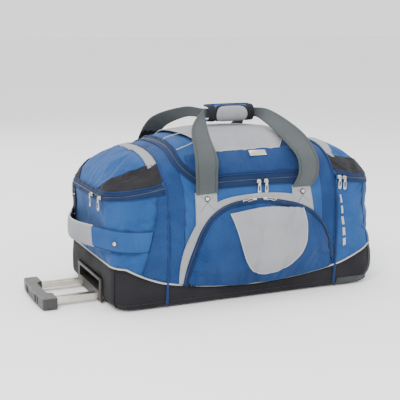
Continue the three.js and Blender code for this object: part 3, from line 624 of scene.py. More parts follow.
# Dark grey metal for rivet rings, screws, pull inlays and the base stitching; the same colour is painted shadow
# along the top of each trolley tube.
DARK_METAL_AND_TUBE_SHADOW = metal("dark_metal", (88, 88, 90), (64, 64, 66), 0.38)


# ---------------------------------------------------------------- main body
def column(x, lower, upper, count):
    """Points at station x between two heights v on the body section, evenly spaced by length."""
    raw = [body_point(x, lower + (upper - lower) * k / 120) for k in range(121)]
    run = [0.0]
    for a, b in zip(raw, raw[1:]):
        run.append(run[-1] + (b - a).length)
    out, k = [], 0
    for i in range(count + 1):
        want = run[-1] * i / count
        while k < 119 and run[k + 1] < want:
            k += 1
        share = (want - run[k]) / max(1e-9, run[k + 1] - run[k])
        out.append(raw[k].lerp(raw[k + 1], share))
    return out


def v_of(x, e):
    """Section parameter v where the upper surface reaches tilted coordinate e."""
    low, high = 0.8, hinge_v(x) + 0.01
    for _ in range(24):
        mid = (low + high) / 2
        if tilted(body_point(x, mid)) < e:
            low = mid
        else:
            high = mid
    return (low + high) / 2


@functools.lru_cache(maxsize=4000)
def hinge_v(x):
    """Section parameter v where the body meets the lid's fold line."""
    low, high = 1.2, 2.0
    for _ in range(24):
        mid = (low + high) / 2
        if body_point(x, mid).y < HINGE_Y:
            low = mid
        else:
            high = mid
    return (low + high) / 2


def zip_e(x):
    """Tilted coordinate of the lid's front edge at station x."""
    far = abs(x)
    flat = LID_X - LID_ROUND
    if far <= flat:
        return LID_LOW
    share = min(1, (far - flat) / LID_ROUND)
    return LID_LOW + LID_ROUND * (1 - math.sqrt(1 - share ** 2))


def front_folds(p, i, j):
    """Diagonal drag folds on the lower left of the front, and soft slack everywhere."""
    leaned = Vector((p.x + 0.75 * p.z, 0, p.z - 0.55 * p.x))
    left = min(1, max(0, (-0.110 - p.x) / 0.060))
    sharp = 1 - abs(math.sin(leaned.x * 95 + 2.4 * noise.noise(leaned * 14)))
    folds = 0.0024 * left * sharp ** 2
    return folds + wrinkle(p, 0.055, 0.0022, (1, 1, 0.6), 3.0) + wrinkle(p, 0.018, 0.0007, (1, 1, 0.4), 8.0)


def slack(p, i, j):
    """Loose cloth on the sides and back."""
    return wrinkle(p, 0.07, 0.0022, (1, 1, 1), 5.0) + wrinkle(p, 0.02, 0.0006, (1, 1, 1), 1.0)


def body_folds(p, i, j):
    """One fold field for every main body panel, so that they meet without a step."""
    share = min(1, max(0, -p.y / 0.080))
    share = share * share * (3 - 2 * share)
    top = min(1, max(0, (p.z - 0.255) / 0.03))
    return (front_folds(p, i, j) * share + slack(p, i, j) * (1 - share)) * (1 - 0.6 * top)


def main_shell():
    """Front, sides and back of the main body in cloth, open where the lid lies."""
    made = []
    rows = []
    for k in range(87):
        x = (LID_X + 0.0004) * (2 * k / 86 - 1)
        rows.append(column(x, BODY_LOW, v_of(x, min(0.085, zip_e(x)) - 0.006), 60))
    made.append(face_away(grid("front_cloth", relief(rows, body_folds), BLUE, CLOTH)))
    for name, side in (("left_side_cloth", -1), ("right_side_cloth", 1)):
        rows = []
        for k in range(13):
            x = side * (LID_X + (EDGE_X - LID_X) * k / 12)
            rows.append(column(x, BODY_LOW, hinge_v(x), 110))
        made.append(face_away(grid(name, relief(rows, body_folds), RIPSTOP, CLOTH)))
    rows = []
    for k in range(85):
        x = EDGE_X * (2 * k / 84 - 1)
        rows.append(column(x, hinge_v(x), BODY_HIGH, 54))
    made.append(face_away(grid("back_cloth", relief(rows, body_folds), BLUE, CLOTH)))
    for piece, nodes in zip(made, (("front_panel",), ("left_gusset",), ("right_gusset",), ("back_panel",))):
        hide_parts(*nodes)


def lid_cloth():
    """The lid skin, a little puffed by its foam, following the zip's rounded front corners."""
    steps, lines = 96, 72
    rows = []
    for i in range(steps + 1):
        x = -LID_SKIN_X + 2 * LID_SKIN_X * i / steps
        rows.append(column(x, v_of(x, zip_e(x) + 0.004), hinge_v(x) - 0.002, lines))

    def puff(p, i, j):
        across = 1 - abs(2 * i / steps - 1) ** 6
        along = math.sin(math.pi * min(1, max(0.0, j / lines))) ** 0.35
        pucker = 0.0006 * math.sin(p.x * 900 + 3 * noise.noise(p * 40)) * max(0, 1 - j / 20)
        return LID_PUFF * across * along + wrinkle(p, 0.05, 0.0012, (1, 1, 1), 4.0) + pucker

    obj = grid("lid_cloth", relief(rows, puff), BLUE, 0.004, body="lid_body")
    face_away(obj)
    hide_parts("lid")


def lid_place(x, e):
    """Surface point of the puffed lid."""
    first, last = v_of(x, zip_e(x)), hinge_v(x)
    v = v_of(x, e)
    across = 1 - min(1, abs(x / LID_SKIN_X)) ** 6
    along = math.sin(math.pi * min(1, max(0.0, (v - first) / (last - first)))) ** 0.35
    p = body_point(x, v)
    normal = (body_point(x, v + 0.004) - body_point(x, v - 0.004)).cross(
        body_point(x + 0.002, v) - body_point(x - 0.002, v)).normalized()
    if normal.z < 0:
        normal.negate()
    return p + normal * LID_PUFF * across * along


# ---------------------------------------------------------------- end pockets
def pocket_walls():
    """End pocket walls with drag folds, deeper at the wheel end."""
    for name, side in (("left", -1), ("right", 1)):
        cols = 150
        rows = [[wall_point(0.001 + 0.998 * i / cols, (j + 0.12) / 44.2, side) for j in range(45)]
                for i in range(cols + 1)]

        def folds(p, i, j, side=side):
            diagonal = Vector((p.x - p.z * side * 0.9, p.y, 0))
            sharp = 1 - abs(math.sin(diagonal.x * 70 + p.y * 30 + 3 * noise.noise(p * 9)))
            depth = 0.0022 if side > 0 else 0.0010
            edge = math.sin(math.pi * min(1, max(0, j / 44))) ** 0.5
            return edge * (depth * sharp ** 2 + wrinkle(p, 0.05, 0.0020, (1, 1, 1), 6.0)
                           + wrinkle(p, 0.016, 0.0006, (1, 1, 1), 9.0)) - 0.0006

        obj = face_away(grid(f"{name}_pocket_cloth", relief(rows, folds), BLUE, CLOTH))
        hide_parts(f"{name}_pocket_wall")


def flap_cloths():
    """Flap skins, from the zip lip up to the hoop seam; each one rides on its flap."""
    for name, side in (("left", -1), ("right", 1)):
        cols, lines = 128, 40
        rows = [[flap_point(0.0015 + 0.997 * i / cols, 0.012 + 0.985 * j / lines, side) for j in range(lines + 1)]
                for i in range(cols + 1)]

        def give(p, i, j):
            pull = math.sin(math.pi * (j / lines)) ** 0.5
            return pull * (wrinkle(p, 0.06, 0.0022, (1, 1, 1), 11.0) + wrinkle(p, 0.02, 0.0006, (1, 1, 1), 3.0))

        obj = face_away(grid(f"{name}_flap_cloth", relief(rows, give), BLUE, 0.0028, body=f"{name}_flap"))
        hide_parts(f"{name}_pocket_flap")


def hoops():
    """Blue piping over each hoop, from the floor up the front, over the top and down the back."""
    for name, side in (("left", -1), ("right", 1)):
        line = [Vector((side * HOOP_X, -side_y(HOOP_X, z) - 0.0008, z)) for z in
                (FLOOR_Z + 0.006, 0.018, 0.030, 0.044)]
        line += [body_point(side * HOOP_X, 3 * k / 96) for k in range(97)]
        line += [Vector((p.x, -p.y, p.z)) for p in reversed(line[:4])]
        line = [Vector((p.x, p.y * 1.004, p.z + (0.0012 if p.z > 0.3 else 0))) for p in line]
        hoop = cord_mesh(f"{name}_hoop_piping", line, 0.0031, PIPING_BLUE, sides=10)
        seam = [Vector((p.x - side * 0.0062, p.y, p.z)) for p in line[4:-4]]
        tape = cord_mesh(f"{name}_hoop_seam", seam, 0.0009, DEEP, sides=6)


# ---------------------------------------------------------------- base
def ring_points(height_at, inset, per_end=60, per_side=24):
    right = [outline(i / per_end, height_at, 1, inset) for i in range(per_end + 1)]
    left = [outline(1 - i / per_end, height_at, -1, inset) for i in range(per_end + 1)]

    def middle(sign):
        out = []
        for k in range(1, per_side):
            x = sign * HOOP_X * (2 * k / per_side - 1)
            z = height_at(abs(x))
            out.append(Vector((x, -sign * (width_y(z) - inset), z)))
        return out

    return middle(1) + right + middle(-1) + left


def sole_point(p):
    """A point of the underside's outline, moved in where the wheels sit."""
    x, y = p.x, p.y
    if x > 0.230 and abs(y) > 0.120:
        if abs(y) > 0.122 and x < 0.236:
            x = min(x, 0.234)
        else:
            y = math.copysign(0.124, y)
    return at(x, y, FLOOR_Z + 0.0006)


def base():
    """Black lower shell: coated cloth over a stiff tray, with rounded lower edge."""
    rings = []
    for z in (FLOOR_Z + 0.0002, FLOOR_Z + 0.0015, FLOOR_Z + 0.004, FLOOR_Z + 0.008, FLOOR_Z + 0.014):
        rings.append(ring_points(lambda x, z=z: z, 0))
    for share in (0.1, 0.22, 0.36, 0.52, 0.68, 0.84, 1.0):
        rings.append(ring_points(lambda x, s=share: 0.017 + (edge_z(x) - 0.0006 - 0.017) * s, 0))

    def dimple(p, i, j):
        if i < 4 or i > len(rings) - 2:
            return 0.0
        drag = 0.0006 * math.sin((p.x + p.z * 1.4) * 130) * noise.noise(p * 12)
        return wrinkle(p, 0.05, 0.0014, (1, 1, 1), 13.0) + drag

    rings = relief(rings, dimple)
    # The column of points nearest each wheel cut's inner wall lies exactly on it, so the cut is straight.
    for ring in rings:
        for p in ring:
            if p.x > 0.300 and abs(abs(p.y) - WELL_IN) < 0.0058:
                p.y = math.copysign(WELL_IN, p.y)
    n, m = len(rings), len(rings[0])
    verts = [at(*p) for ring in rings for p in ring]
    faces = []
    for i in range(n - 1):
        for j in range(m):
            a, b = i * m + j, i * m + (j + 1) % m
            quad = (a, b, b + m, a + m)
            centre = sum((rings[q // m][q % m] for q in quad), Vector()) / 4
            in_well = centre.x > WELL_X and WELL_IN < abs(centre.y) < WELL_OUT and centre.z < WELL_TOP
            in_bezel = centre.x < -0.300 and abs(centre.y) < 0.086 and 0.004 < centre.z < 0.054
            if not (in_well or in_bezel):
                faces.append(quad)
    obj = face_away(new_object("base_cloth", verts, faces, BLACK))
    thicken(obj, 0.0026)
    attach(obj, BAG)
    shape = [sole_point(p) for p in ring_points(lambda x: FLOOR_Z + 0.0003, 0.012)]
    sole = new_object("base_sole", shape, [tuple(range(len(shape)))], SLATE, smooth=False)
    thicken(sole, 0.0022, 1)
    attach(sole, BAG)
    rim = ring_points(edge_z, -0.0006, 60, 30)
    piping = cord_mesh("base_white_piping", rim, 0.0021, PIPING_WHITE, sides=8, closed=True)
    welt = cord_mesh("base_black_welt", ring_points(lambda x: edge_z(x) - 0.0048, -0.0002, 60, 30), 0.0017, BLACK,
                     sides=6, closed=True)
    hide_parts("base_tray")


# ---------------------------------------------------------------- small made things
def joined(name, parts, material, body=BAG, smooth=True):
    """One object from several (vertices, faces) lists measured from the bag's middle."""
    verts, faces = [], []
    for v, f in parts:
        base_index = len(verts)
        verts += [at(*p) for p in v]
        faces += [tuple(q + base_index for q in face) for face in f]
    obj = new_object(name, verts, faces, material, smooth=smooth)
    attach(obj, body)
    return obj


def capsule(a, b, radius, sides=6):
    """A short rounded bar from a to b."""
    along = (b - a).normalized()
    side = along.orthogonal().normalized()
    up = along.cross(side)
    verts, faces = [], []
    for centre, size in ((a - along * radius * 0.6, 0.5), (a, 1), (b, 1), (b + along * radius * 0.6, 0.5)):
        for k in range(sides):
            angle = 2 * math.pi * k / sides
            verts.append(centre + (side * math.cos(angle) + up * math.sin(angle)) * radius * size)
    for i in range(3):
        for k in range(sides):
            p, q = i * sides + k, i * sides + (k + 1) % sides
            faces.append((p, q, q + sides, p + sides))
    faces.append(tuple(reversed(range(sides))))
    faces.append(tuple(range(3 * sides, 4 * sides)))
    return verts, faces


def stitches(name, path, material, body=BAG, length=0.0032, gap=0.0016, radius=0.00038):
    """A run of separate stitches along a path."""
    parts, travel, start = [], 0.0, path[0]
    on = True
    for a, b in zip(path, path[1:]):
        travel += (b - a).length
        if travel >= (length if on else gap):
            if on:
                parts.append(capsule(start, b, radius, 5))
            start, travel, on = b, 0.0, not on
    return joined(name, parts, material, body) if parts else None


def dense(path, step=0.0008):
    """The path with extra points so that no span is longer than step."""
    out = [path[0]]
    for a, b in zip(path, path[1:]):
        count = max(1, math.ceil((b - a).length / step))
        out += [a.lerp(b, k / count) for k in range(1, count + 1)]
    return out


def rounded_box(name, centre, half, material, body=BAG, bevel=0.0008, turn=0.0, tilt=0.0, segments=3):
    """A box with rounded edges, turned about Z and then tilted about its own X."""
    verts = []
    for x in (-1, 1):
        for y in (-1, 1):
            for z in (-1, 1):
                p = Vector((x * half[0], y * half[1], z * half[2]))
                p = Vector((p.x, p.y * math.cos(tilt) - p.z * math.sin(tilt),
                            p.y * math.sin(tilt) + p.z * math.cos(tilt)))
                p = Vector((p.x * math.cos(turn) - p.y * math.sin(turn),
                            p.x * math.sin(turn) + p.y * math.cos(turn), p.z))
                verts.append(at(*(Vector(centre) + p)))
    faces = [(0, 1, 3, 2), (4, 6, 7, 5), (0, 4, 5, 1), (2, 3, 7, 6), (0, 2, 6, 4), (1, 5, 7, 3)]
    obj = new_object(name, verts, faces, material)
    made = obj.modifiers.new("edges", "BEVEL")
    made.width, made.segments = bevel, segments
    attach(obj, body)
    return obj


# ---------------------------------------------------------------- front pocket
ARCH = [(-0.1755, 0.050), (-0.174, 0.054), (-0.167, 0.086), (-0.157, 0.116), (-0.146, 0.145), (-0.134, 0.170),
        (-0.117, 0.194), (-0.098, 0.210), (-0.076, 0.221), (-0.049, 0.228), (-0.027, 0.230), (-0.002, 0.231),
        (0.036, 0.228), (0.069, 0.222), (0.106, 0.212), (0.138, 0.197), (0.162, 0.176), (0.182, 0.146),
        (0.196, 0.111), (0.2035, 0.060)]
arch_curve = [Vector((p.x, p.y)) for p in smooth_path([(*q, 0) for q in ARCH], 150)]


def inside_arch(x, z):
    """True for points inside the front pocket's arch."""
    crossings = 0
    for a, b in zip(arch_curve, arch_curve[1:]):
        if (a.x > x) != (b.x > x) and z < a.y + (b.y - a.y) * (x - a.x) / (b.x - a.x):
            crossings += 1
    return crossings % 2 == 1


def arch_distance(x, z):
    """Distance from a point of the front to the arch."""
    p = Vector((x, z))
    best = 1.0
    for a, b in zip(arch_curve, arch_curve[1:]):
        span = b - a
        t = min(1, max(0, (p - a).dot(span) / max(1e-12, span.length_squared)))
        best = min(best, (p - a - span * t).length)
    return best


def pocket_rise(x, z):
    """How far the stuffed front pocket stands off the body."""
    if not inside_arch(x, z):
        return 0.0
    near = arch_distance(x, z)
    low = min(1, max(0, (z - edge_z(x)) / 0.045))
    return 0.0145 * (1 - math.exp(-near / 0.013)) * (0.25 + 0.75 * math.sin(low * math.pi / 2))


def front_point(x, z):
    """The front's surface with the stuffed pocket on it."""
    return Vector((x, -outer_y(x, z) - pocket_rise(x, z), z))


def front_flat(x, z):
    """The front's surface without its pocket."""
    return Vector((x, -outer_y(x, z), z))


def front_pocket():
    """Stuffed front pocket, from the arch down to the base piping."""
    count, lines = 150, 46
    rows = []
    for i in range(1, count):
        a = arch_curve[i]
        x = -0.1745 + 0.377 * i / count
        b = Vector((x, edge_z(x) + 0.0006))
        rows.append([front_point(*a.lerp(b, j / lines)) for j in range(lines + 1)])

    def stuffing(p, i, j):
        return wrinkle(p, 0.05, 0.0022, (1, 1, 0.8), 21.0) + wrinkle(p, 0.02, 0.0007, (1, 1, 0.8), 5.0)

    obj = face_away(grid("front_pocket_cloth", relief(rows, stuffing), RIPSTOP, 0.003))
    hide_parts("front_pocket")


U_LEFT = [(-0.069, 0.2045), (-0.055, 0.164), (-0.042, 0.121), (-0.032, 0.095), (-0.016, 0.074), (0.001, 0.0655),
          (0.022, 0.063)]
U_RIGHT = [(0.1135, 0.2015), (0.118, 0.174), (0.116, 0.139), (0.107, 0.111), (0.091, 0.091), (0.073, 0.076),
           (0.050, 0.067), (0.022, 0.063)]


def pocket_panel():
    """Grey U-shaped centre of the front pocket, gathered along its top."""
    steps, across = 60, 56
    left = smooth_path([(*p, 0) for p in U_LEFT], steps)
    right = smooth_path([(*p, 0) for p in U_RIGHT], steps)
    rows = []
    for i in range(across + 1):
        t = i / across
        line = []
        for j in range(steps + 1):
            s = j / steps
            q = left[j].lerp(right[j], t)
            z = q.y + 0.0095 * (1 - s) ** 4 * math.sin(math.pi * t)
            gather = 0.0013 * math.exp(-s / 0.16) * math.sin(t * 70 + 4 * noise.noise(Vector((t * 9, s * 2, 0))))
            soft = 0.0016 * noise.noise(Vector((q.x * 26, 5, z * 15)))
            edge = min(1, 6 * t, 6 * (1 - t), 5 * (1 - s) + 0.15)
            line.append(lifted(front_point, q.x, z, 0.0020 + (gather + soft + 0.0012) * max(0, edge) + 0.0004))
        rows.append(line)
    obj = face_away(grid("pocket_grey_panel", rows, GREY, 0.0016))
    rim = [Vector((p.x, p.y)) for p in left] + [Vector((p.x, p.y)) for p in reversed(right[:-1])]
    piping = cord_mesh("pocket_panel_piping", [lifted(front_point, p.x, p.y, 0.0024) for p in rim], 0.0014,
                       PIPING_WHITE)


def offset_arch(distance, first=0, last=None):
    """The arch moved inward (positive) or outward by distance, as (x, z) pairs."""
    pts = arch_curve[first:last]
    out = []
    for k, p in enumerate(pts):
        ahead, behind = pts[min(k + 1, len(pts) - 1)], pts[max(k - 1, 0)]
        along = (ahead - behind).normalized()
        out.append(Vector((p.x + along.y * distance, p.y - along.x * distance)))
    return out


def ribbon_between(name, edge_a, edge_b, surface, lift, material, body=BAG, across=4, thickness=0.0008):
    """A flat strip of cloth between two matching edges on a surface."""
    rows = [[lifted(surface, *a.lerp(b, i / across), lift) for a, b in zip(edge_a, edge_b)]
            for i in range(across + 1)]
    obj = face_away(grid(name, rows, material, body=body))
    thicken(obj, thickness)
    return obj


def pocket_zip():
    """The arched zip: tape, coil, seam and welt, with two pulls."""
    tape = ribbon_between("pocket_zip_tape", offset_arch(-0.0012, 4, -3), offset_arch(0.0085, 4, -3), front_point,
                          0.0024, TAPE, thickness=0.002)
    coil = cord_mesh("pocket_zip_coil", [lifted(front_point, p.x, p.y, 0.0026) for p in offset_arch(0.0028, 4, -3)],
                     0.0011, COIL)
    seam = cord_mesh("pocket_zip_seam", [lifted(front_point, p.x, p.y, 0.0026) for p in offset_arch(0.0086, 4, -3)],
                     0.0008, PIPING_BLUE, sides=6)
    welt = cord_mesh("pocket_welt", [lifted(front_flat, p.x, p.y, 0.0016) for p in offset_arch(-0.0018, 1, -1)],
                     0.0017, PIPING_BLUE)
    # Two pulls lie along the top of the arch, half under the trim.
    for name, x, way in (("left", -0.006, -1), ("right", 0.020, 1)):
        p = lifted(front_flat, x, 0.2315, 0.0050)
        body = rounded_box(f"pocket_{name}_slider", p, (0.0048, 0.0026, 0.0034), NICKEL, bevel=0.0012)
        loop = [p + Vector((way * (0.004 + 0.024 * k), -0.0022, 0.0018 * math.sin(2 * math.pi * k) + 0.0006))
                for k in
                [q / 14 for q in range(15)]]
        lower = [q + Vector((0, 0, -0.0046)) for q in reversed(loop)]
        pull = cord_mesh(f"pocket_{name}_pull", loop + lower, 0.0010, NICKEL, closed=True)


def front_trim():
    """Grey trim round the pocket arch, flowing up into the two strap anchor patches."""
    lift = 0.0030
    pieces = [
        patch("trim_left_leg",
              [(-0.186, 0.054), (-0.184, 0.092), (-0.176, 0.128), (-0.163, 0.158), (-0.148, 0.184)],
              [(-0.177, 0.054), (-0.170, 0.086), (-0.1605, 0.116), (-0.152, 0.136), (-0.148, 0.145)],
              front_flat, lift, 50, 8, GREY),
        patch("trim_left_anchor", [(-0.1485, 0.145), (-0.137, 0.169), (-0.1195, 0.193), (-0.096, 0.213)],
              [(-0.146, 0.254), (-0.130, 0.2545), (-0.112, 0.2545), (-0.095, 0.254)], front_flat, lift + 0.0001, 40,
              16, GREY),
        patch("trim_top", [(-0.0965, 0.213), (-0.076, 0.2225), (-0.049, 0.2295), (-0.002, 0.2325), (0.036, 0.230),
                           (0.069, 0.224), (0.0935, 0.218)],
              [(-0.0955, 0.231), (-0.076, 0.237), (-0.049, 0.241), (0.002, 0.244), (0.036, 0.243), (0.069, 0.240),
               (0.0935, 0.236)],
              front_flat, lift + 0.0002, 60, 8, GREY),
        patch("trim_right_anchor", [(0.0925, 0.218), (0.106, 0.2135), (0.124, 0.2055), (0.147, 0.193)],
              [(0.093, 0.254), (0.108, 0.2545), (0.124, 0.2545), (0.140, 0.254)], front_flat, lift, 40, 16, GREY)]
    for name, points in (
            ("left_anchor", [(-0.1445, 0.180), (-0.1435, 0.215), (-0.1425, 0.2515), (-0.120, 0.2520),
                             (-0.0985, 0.2515), (-0.099, 0.232), (-0.0995, 0.2165)]),
            ("right_anchor", [(0.0955, 0.221), (0.096, 0.236), (0.0965, 0.2515), (0.118, 0.2520), (0.137, 0.2515),
                              (0.140, 0.224), (0.1435, 0.199)]),
            ("top", [(-0.094, 0.2285), (-0.076, 0.2340), (-0.049, 0.2382), (0.002, 0.2412), (0.036, 0.2402),
                     (0.069, 0.2372), (0.092, 0.2332)]),
            ("left_leg",
             [(-0.1835, 0.058), (-0.1812, 0.092), (-0.1734, 0.127), (-0.1606, 0.156), (-0.149, 0.176)])):
        line = surface_path(points, front_flat, lift + 0.0006, 300)
        made = stitches(f"trim_{name}_stitch", dense(line), PIPING_WHITE)
    for name, x in (("left", -ANCHOR_X), ("right", ANCHOR_X)):
        for k, (x0, z0, x1,
                z1) in enumerate(((x - 0.017, 0.214, x + 0.017, 0.249), (x + 0.017, 0.214, x - 0.017, 0.249))):
            line = surface_path([(x0, z0), ((x0 + x1) / 2, (z0 + z1) / 2), (x1, z1)], front_flat, lift + 0.0007,
                                120)
            stitches(f"{name}_anchor_cross_{k}", dense(line), MESH)


# ---------------------------------------------------------------- lid details
def zip_path(offset, side_steps=26):
    """The lid's zip line moved outward by offset, as (x, e) pairs from hinge to hinge."""
    cx, cy, radius = LID_X - LID_ROUND, LID_LOW + LID_ROUND, LID_ROUND + offset
    out = [Vector((-LID_X - offset, 0.288 + (cy - 0.288) * k / side_steps)) for k in range(side_steps)]
    out += [Vector((-cx + radius * math.cos(a), cy + radius * math.sin(a))) for a in
            [math.pi + math.pi / 2 * k / 24 for k in range(25)]]
    out += [Vector((-cx + 2 * cx * k / 40, LID_LOW - offset)) for k in range(1, 40)]
    out += [Vector((-p.x, p.y)) for p in reversed(out[:side_steps + 25])]
    return out


def body_place(x, e):
    return body_point(x, v_of(x, e))


def lid_zip():
    """The U-shaped zip of the lid: one tape on the body, one on the lid."""
    tape = ribbon_between("lid_zip_tape_lower", zip_path(0.0006), zip_path(0.0105), body_place, 0.0016, TAPE,
                          thickness=0.0026)
    coil = cord_mesh("lid_zip_coil", [lifted(body_place, p.x, p.y, 0.0013) for p in zip_path(0.0)], 0.0013, COIL)
    rim = cord_mesh("lid_zip_rim_lower", [lifted(body_place, p.x, p.y, 0.0020) for p in zip_path(0.0108)], 0.0010,
                    PIPING_BLUE, sides=6)
    upper = ribbon_between("lid_zip_tape_upper", zip_path(-0.0008), zip_path(-0.0105), lid_place, 0.0012, TAPE,
                           body="lid_body", thickness=0.0026)
    welt = cord_mesh("lid_zip_welt", [lifted(lid_place, p.x, p.y, 0.0018) for p in zip_path(-0.0108)], 0.0016,
                     PIPING_BLUE, body="lid_body")


def lid_low(x, margin):
    """Tilted coordinate just inside the rounded front of the lid at station x."""
    far, flat, radius = abs(x), LID_X - LID_ROUND, LID_ROUND - margin
    if far <= flat:
        return LID_LOW + margin
    return LID_LOW + LID_ROUND - math.sqrt(max(0, radius ** 2 - (far - flat) ** 2))


def lid_panels():
    """Ripstop visor, grey centre panel, piping and stitching of the lid."""
    wide, steps, lines = 0.150, 110, 34
    rows = []
    for i in range(steps + 1):
        x = -wide + 2 * wide * i / steps
        low, high = lid_low(x, 0.0125), 0.080 + 0.004 * math.cos(x * 12)
        line = []
        for j in range(lines + 1):
            t = j / lines
            fade = min(1, 8 * t, 8 * (1 - t), 14 * i / steps, 14 * (1 - i / steps))
            pucker = 0.0010 * math.sin(x * 420 + 4 * noise.noise(Vector((x * 30, t * 2, 1)))) * math.exp(-t / 0.4)
            soft = 0.0014 * noise.noise(Vector((x * 22, t * 1.6, 4)))
            line.append(lifted(lid_place, x, low + (high - low) * t,
                               0.0010 + max(0, fade) * (0.0016 + pucker + soft)))
        rows.append(line)
    visor = face_away(grid("lid_visor_cloth", rows, DEEP_RIPSTOP, 0.0014, body="lid_body"))
    edge = [(0.083, 0.0785), (0.106, 0.116), (0.116, 0.160), (0.121, 0.209), (0.124, 0.250), (0.126, 0.2935)]
    centre = patch("lid_grey_centre", [(-x, e) for x, e in edge], edge, lid_place, 0.0016, 60, 40, GREY,
                   body="lid_body", puff=0.002)
    for name, points in (("left", [(-x, e) for x, e in edge]), ("right", edge),
                         ("front", [(-0.083, 0.0785), (-0.04, 0.0800), (0, 0.0805), (0.04, 0.0800),
                                    (0.083, 0.0785)]),
                         ("accent_high", [(-0.163, 0.166), (-0.140, 0.169), (-0.119, 0.172)]),
                         ("accent_low", [(-0.158, 0.100), (-0.132, 0.106), (-0.107, 0.114)])):
        line = surface_path(points, lid_place, 0.0020, 60)
        cord_mesh(f"lid_{name}_piping", line, 0.0011, PIPING_WHITE, body="lid_body")
    lower = [(x, lid_low(x, 0.015)) for x in [-0.140 + 0.28 * k / 30 for k in range(31)]]
    line = surface_path(lower, lid_place, 0.0028, 400)
    stitches("lid_visor_stitch", dense(line), DEEP, body="lid_body")


def label():
    """Plain raised badge: a frame, a plate and two bars with no lettering."""
    low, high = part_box("label_plate")
    centre = (low + high) / 2 - ORIGIN + Vector((0, -0.0020, 0.0020))
    plate = rounded_box("lid_badge", centre, (0.021, 0.0011, 0.0075), NICKEL, body="lid_body", bevel=0.0009,
                        tilt=-BADGE_TILT)
    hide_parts("label_plate")
    out = Vector((0, -math.cos(BADGE_TILT), math.sin(BADGE_TILT)))
    rise = Vector((0, math.sin(BADGE_TILT), math.cos(BADGE_TILT)))
    field = rounded_box("lid_badge_field", centre + out * 0.0009, (0.0185, 0.0005, 0.0052), ALLOY, body="lid_body",
                        bevel=0.0003, tilt=-BADGE_TILT)
    for k, along in enumerate((-0.0022, 0.0022)):
        bar = rounded_box(f"lid_badge_bar_{k}", centre + out * 0.0013 + rise * along, (0.0125, 0.0004, 0.0007),
                          NICKEL, body="lid_body", bevel=0.0002, tilt=-BADGE_TILT)


# ---------------------------------------------------------------- end pocket details
def flap_reach(u, side):
    """Length of a flap from zip to hoop at u."""
    return max(0.004, (flap_point(u, 1, side) - flap_point(u, 0, side)).length)


def end_details():
    """Zips, grey bands and black lens panels of the end pockets."""
    for name, side in (("left", -1), ("right", 1)):
        flap = lambda u, v, side=side: flap_point(u, v, side)
        wall = lambda u, v, side=side: wall_point(u, v, side)
        body = f"{name}_flap"
        stations = [0.012 + 0.976 * k / 150 for k in range(151)]
        high = [min(0.9, 0.0095 / flap_reach(u, side)) for u in stations]
        upper = ribbon_between(f"{name}_zip_tape_upper", [Vector((u, 0.004)) for u in stations],
                               [Vector((u, v)) for u, v in zip(stations, high)], flap, 0.0016, TAPE, body=body,
                               thickness=0.0026)
        welt = cord_mesh(f"{name}_zip_welt", [lifted(flap, u, v, 0.0019) for u, v in zip(stations, high)], 0.0014,
                         PIPING_BLUE, body=body)
        lower = ribbon_between(f"{name}_zip_tape_lower", [Vector((u, 0.945)) for u in stations],
                               [Vector((u, 0.9935)) for u in stations], wall, 0.0016, TAPE, thickness=0.0026)
        rim = cord_mesh(f"{name}_zip_rim", [lifted(wall, u, 0.944, 0.0018) for u in stations], 0.0010, PIPING_BLUE,
                        sides=6)
        coil = cord_mesh(f"{name}_zip_coil", [lifted(wall, u, 0.9975, 0.0012) for u in stations], 0.0013, COIL)
        # Grey band beside the hoop, over the top.
        across = [BAND_START + 0.59 * k / 60 for k in range(61)]
        band = ribbon_between(f"{name}_grey_band", [Vector((u, 1 - 0.026 / flap_reach(u, side))) for u in across],
                              [Vector((u, 0.985)) for u in across], flap, 0.0024, GREY, body=body, across=6,
                              thickness=0.0022)
        # Black lens panels at front and back, bounded by a curve that sweeps from the hoop down to the zip.
        for place, mirrored in (("front", False), ("back", True)):
            edge_a, edge_b = [], []
            for k in range(61):
                u = 0.012 + 0.392 * k / 60
                low = min(0.9, 0.0100 / flap_reach(u, side))
                high = 0.985 if u < BAND_START else 1 - ((u - BAND_START) / 0.20) ** (2 / 3) * 0.985 - 0.015
                edge_a.append(Vector((1 - u if mirrored else u, low)))
                edge_b.append(Vector((1 - u if mirrored else u, max(high, low + 0.002))))
            lens = ribbon_between(f"{name}_{place}_lens", edge_a, edge_b, flap, 0.0021, BLACK, body=body, across=24,
                                  thickness=0.0020)
            rim_path = [lifted(flap, p.x, p.y, 0.0024) for p in edge_b]
            stitches(f"{name}_{place}_lens_stitch", dense(rim_path), PIPING_BLUE, body=body)


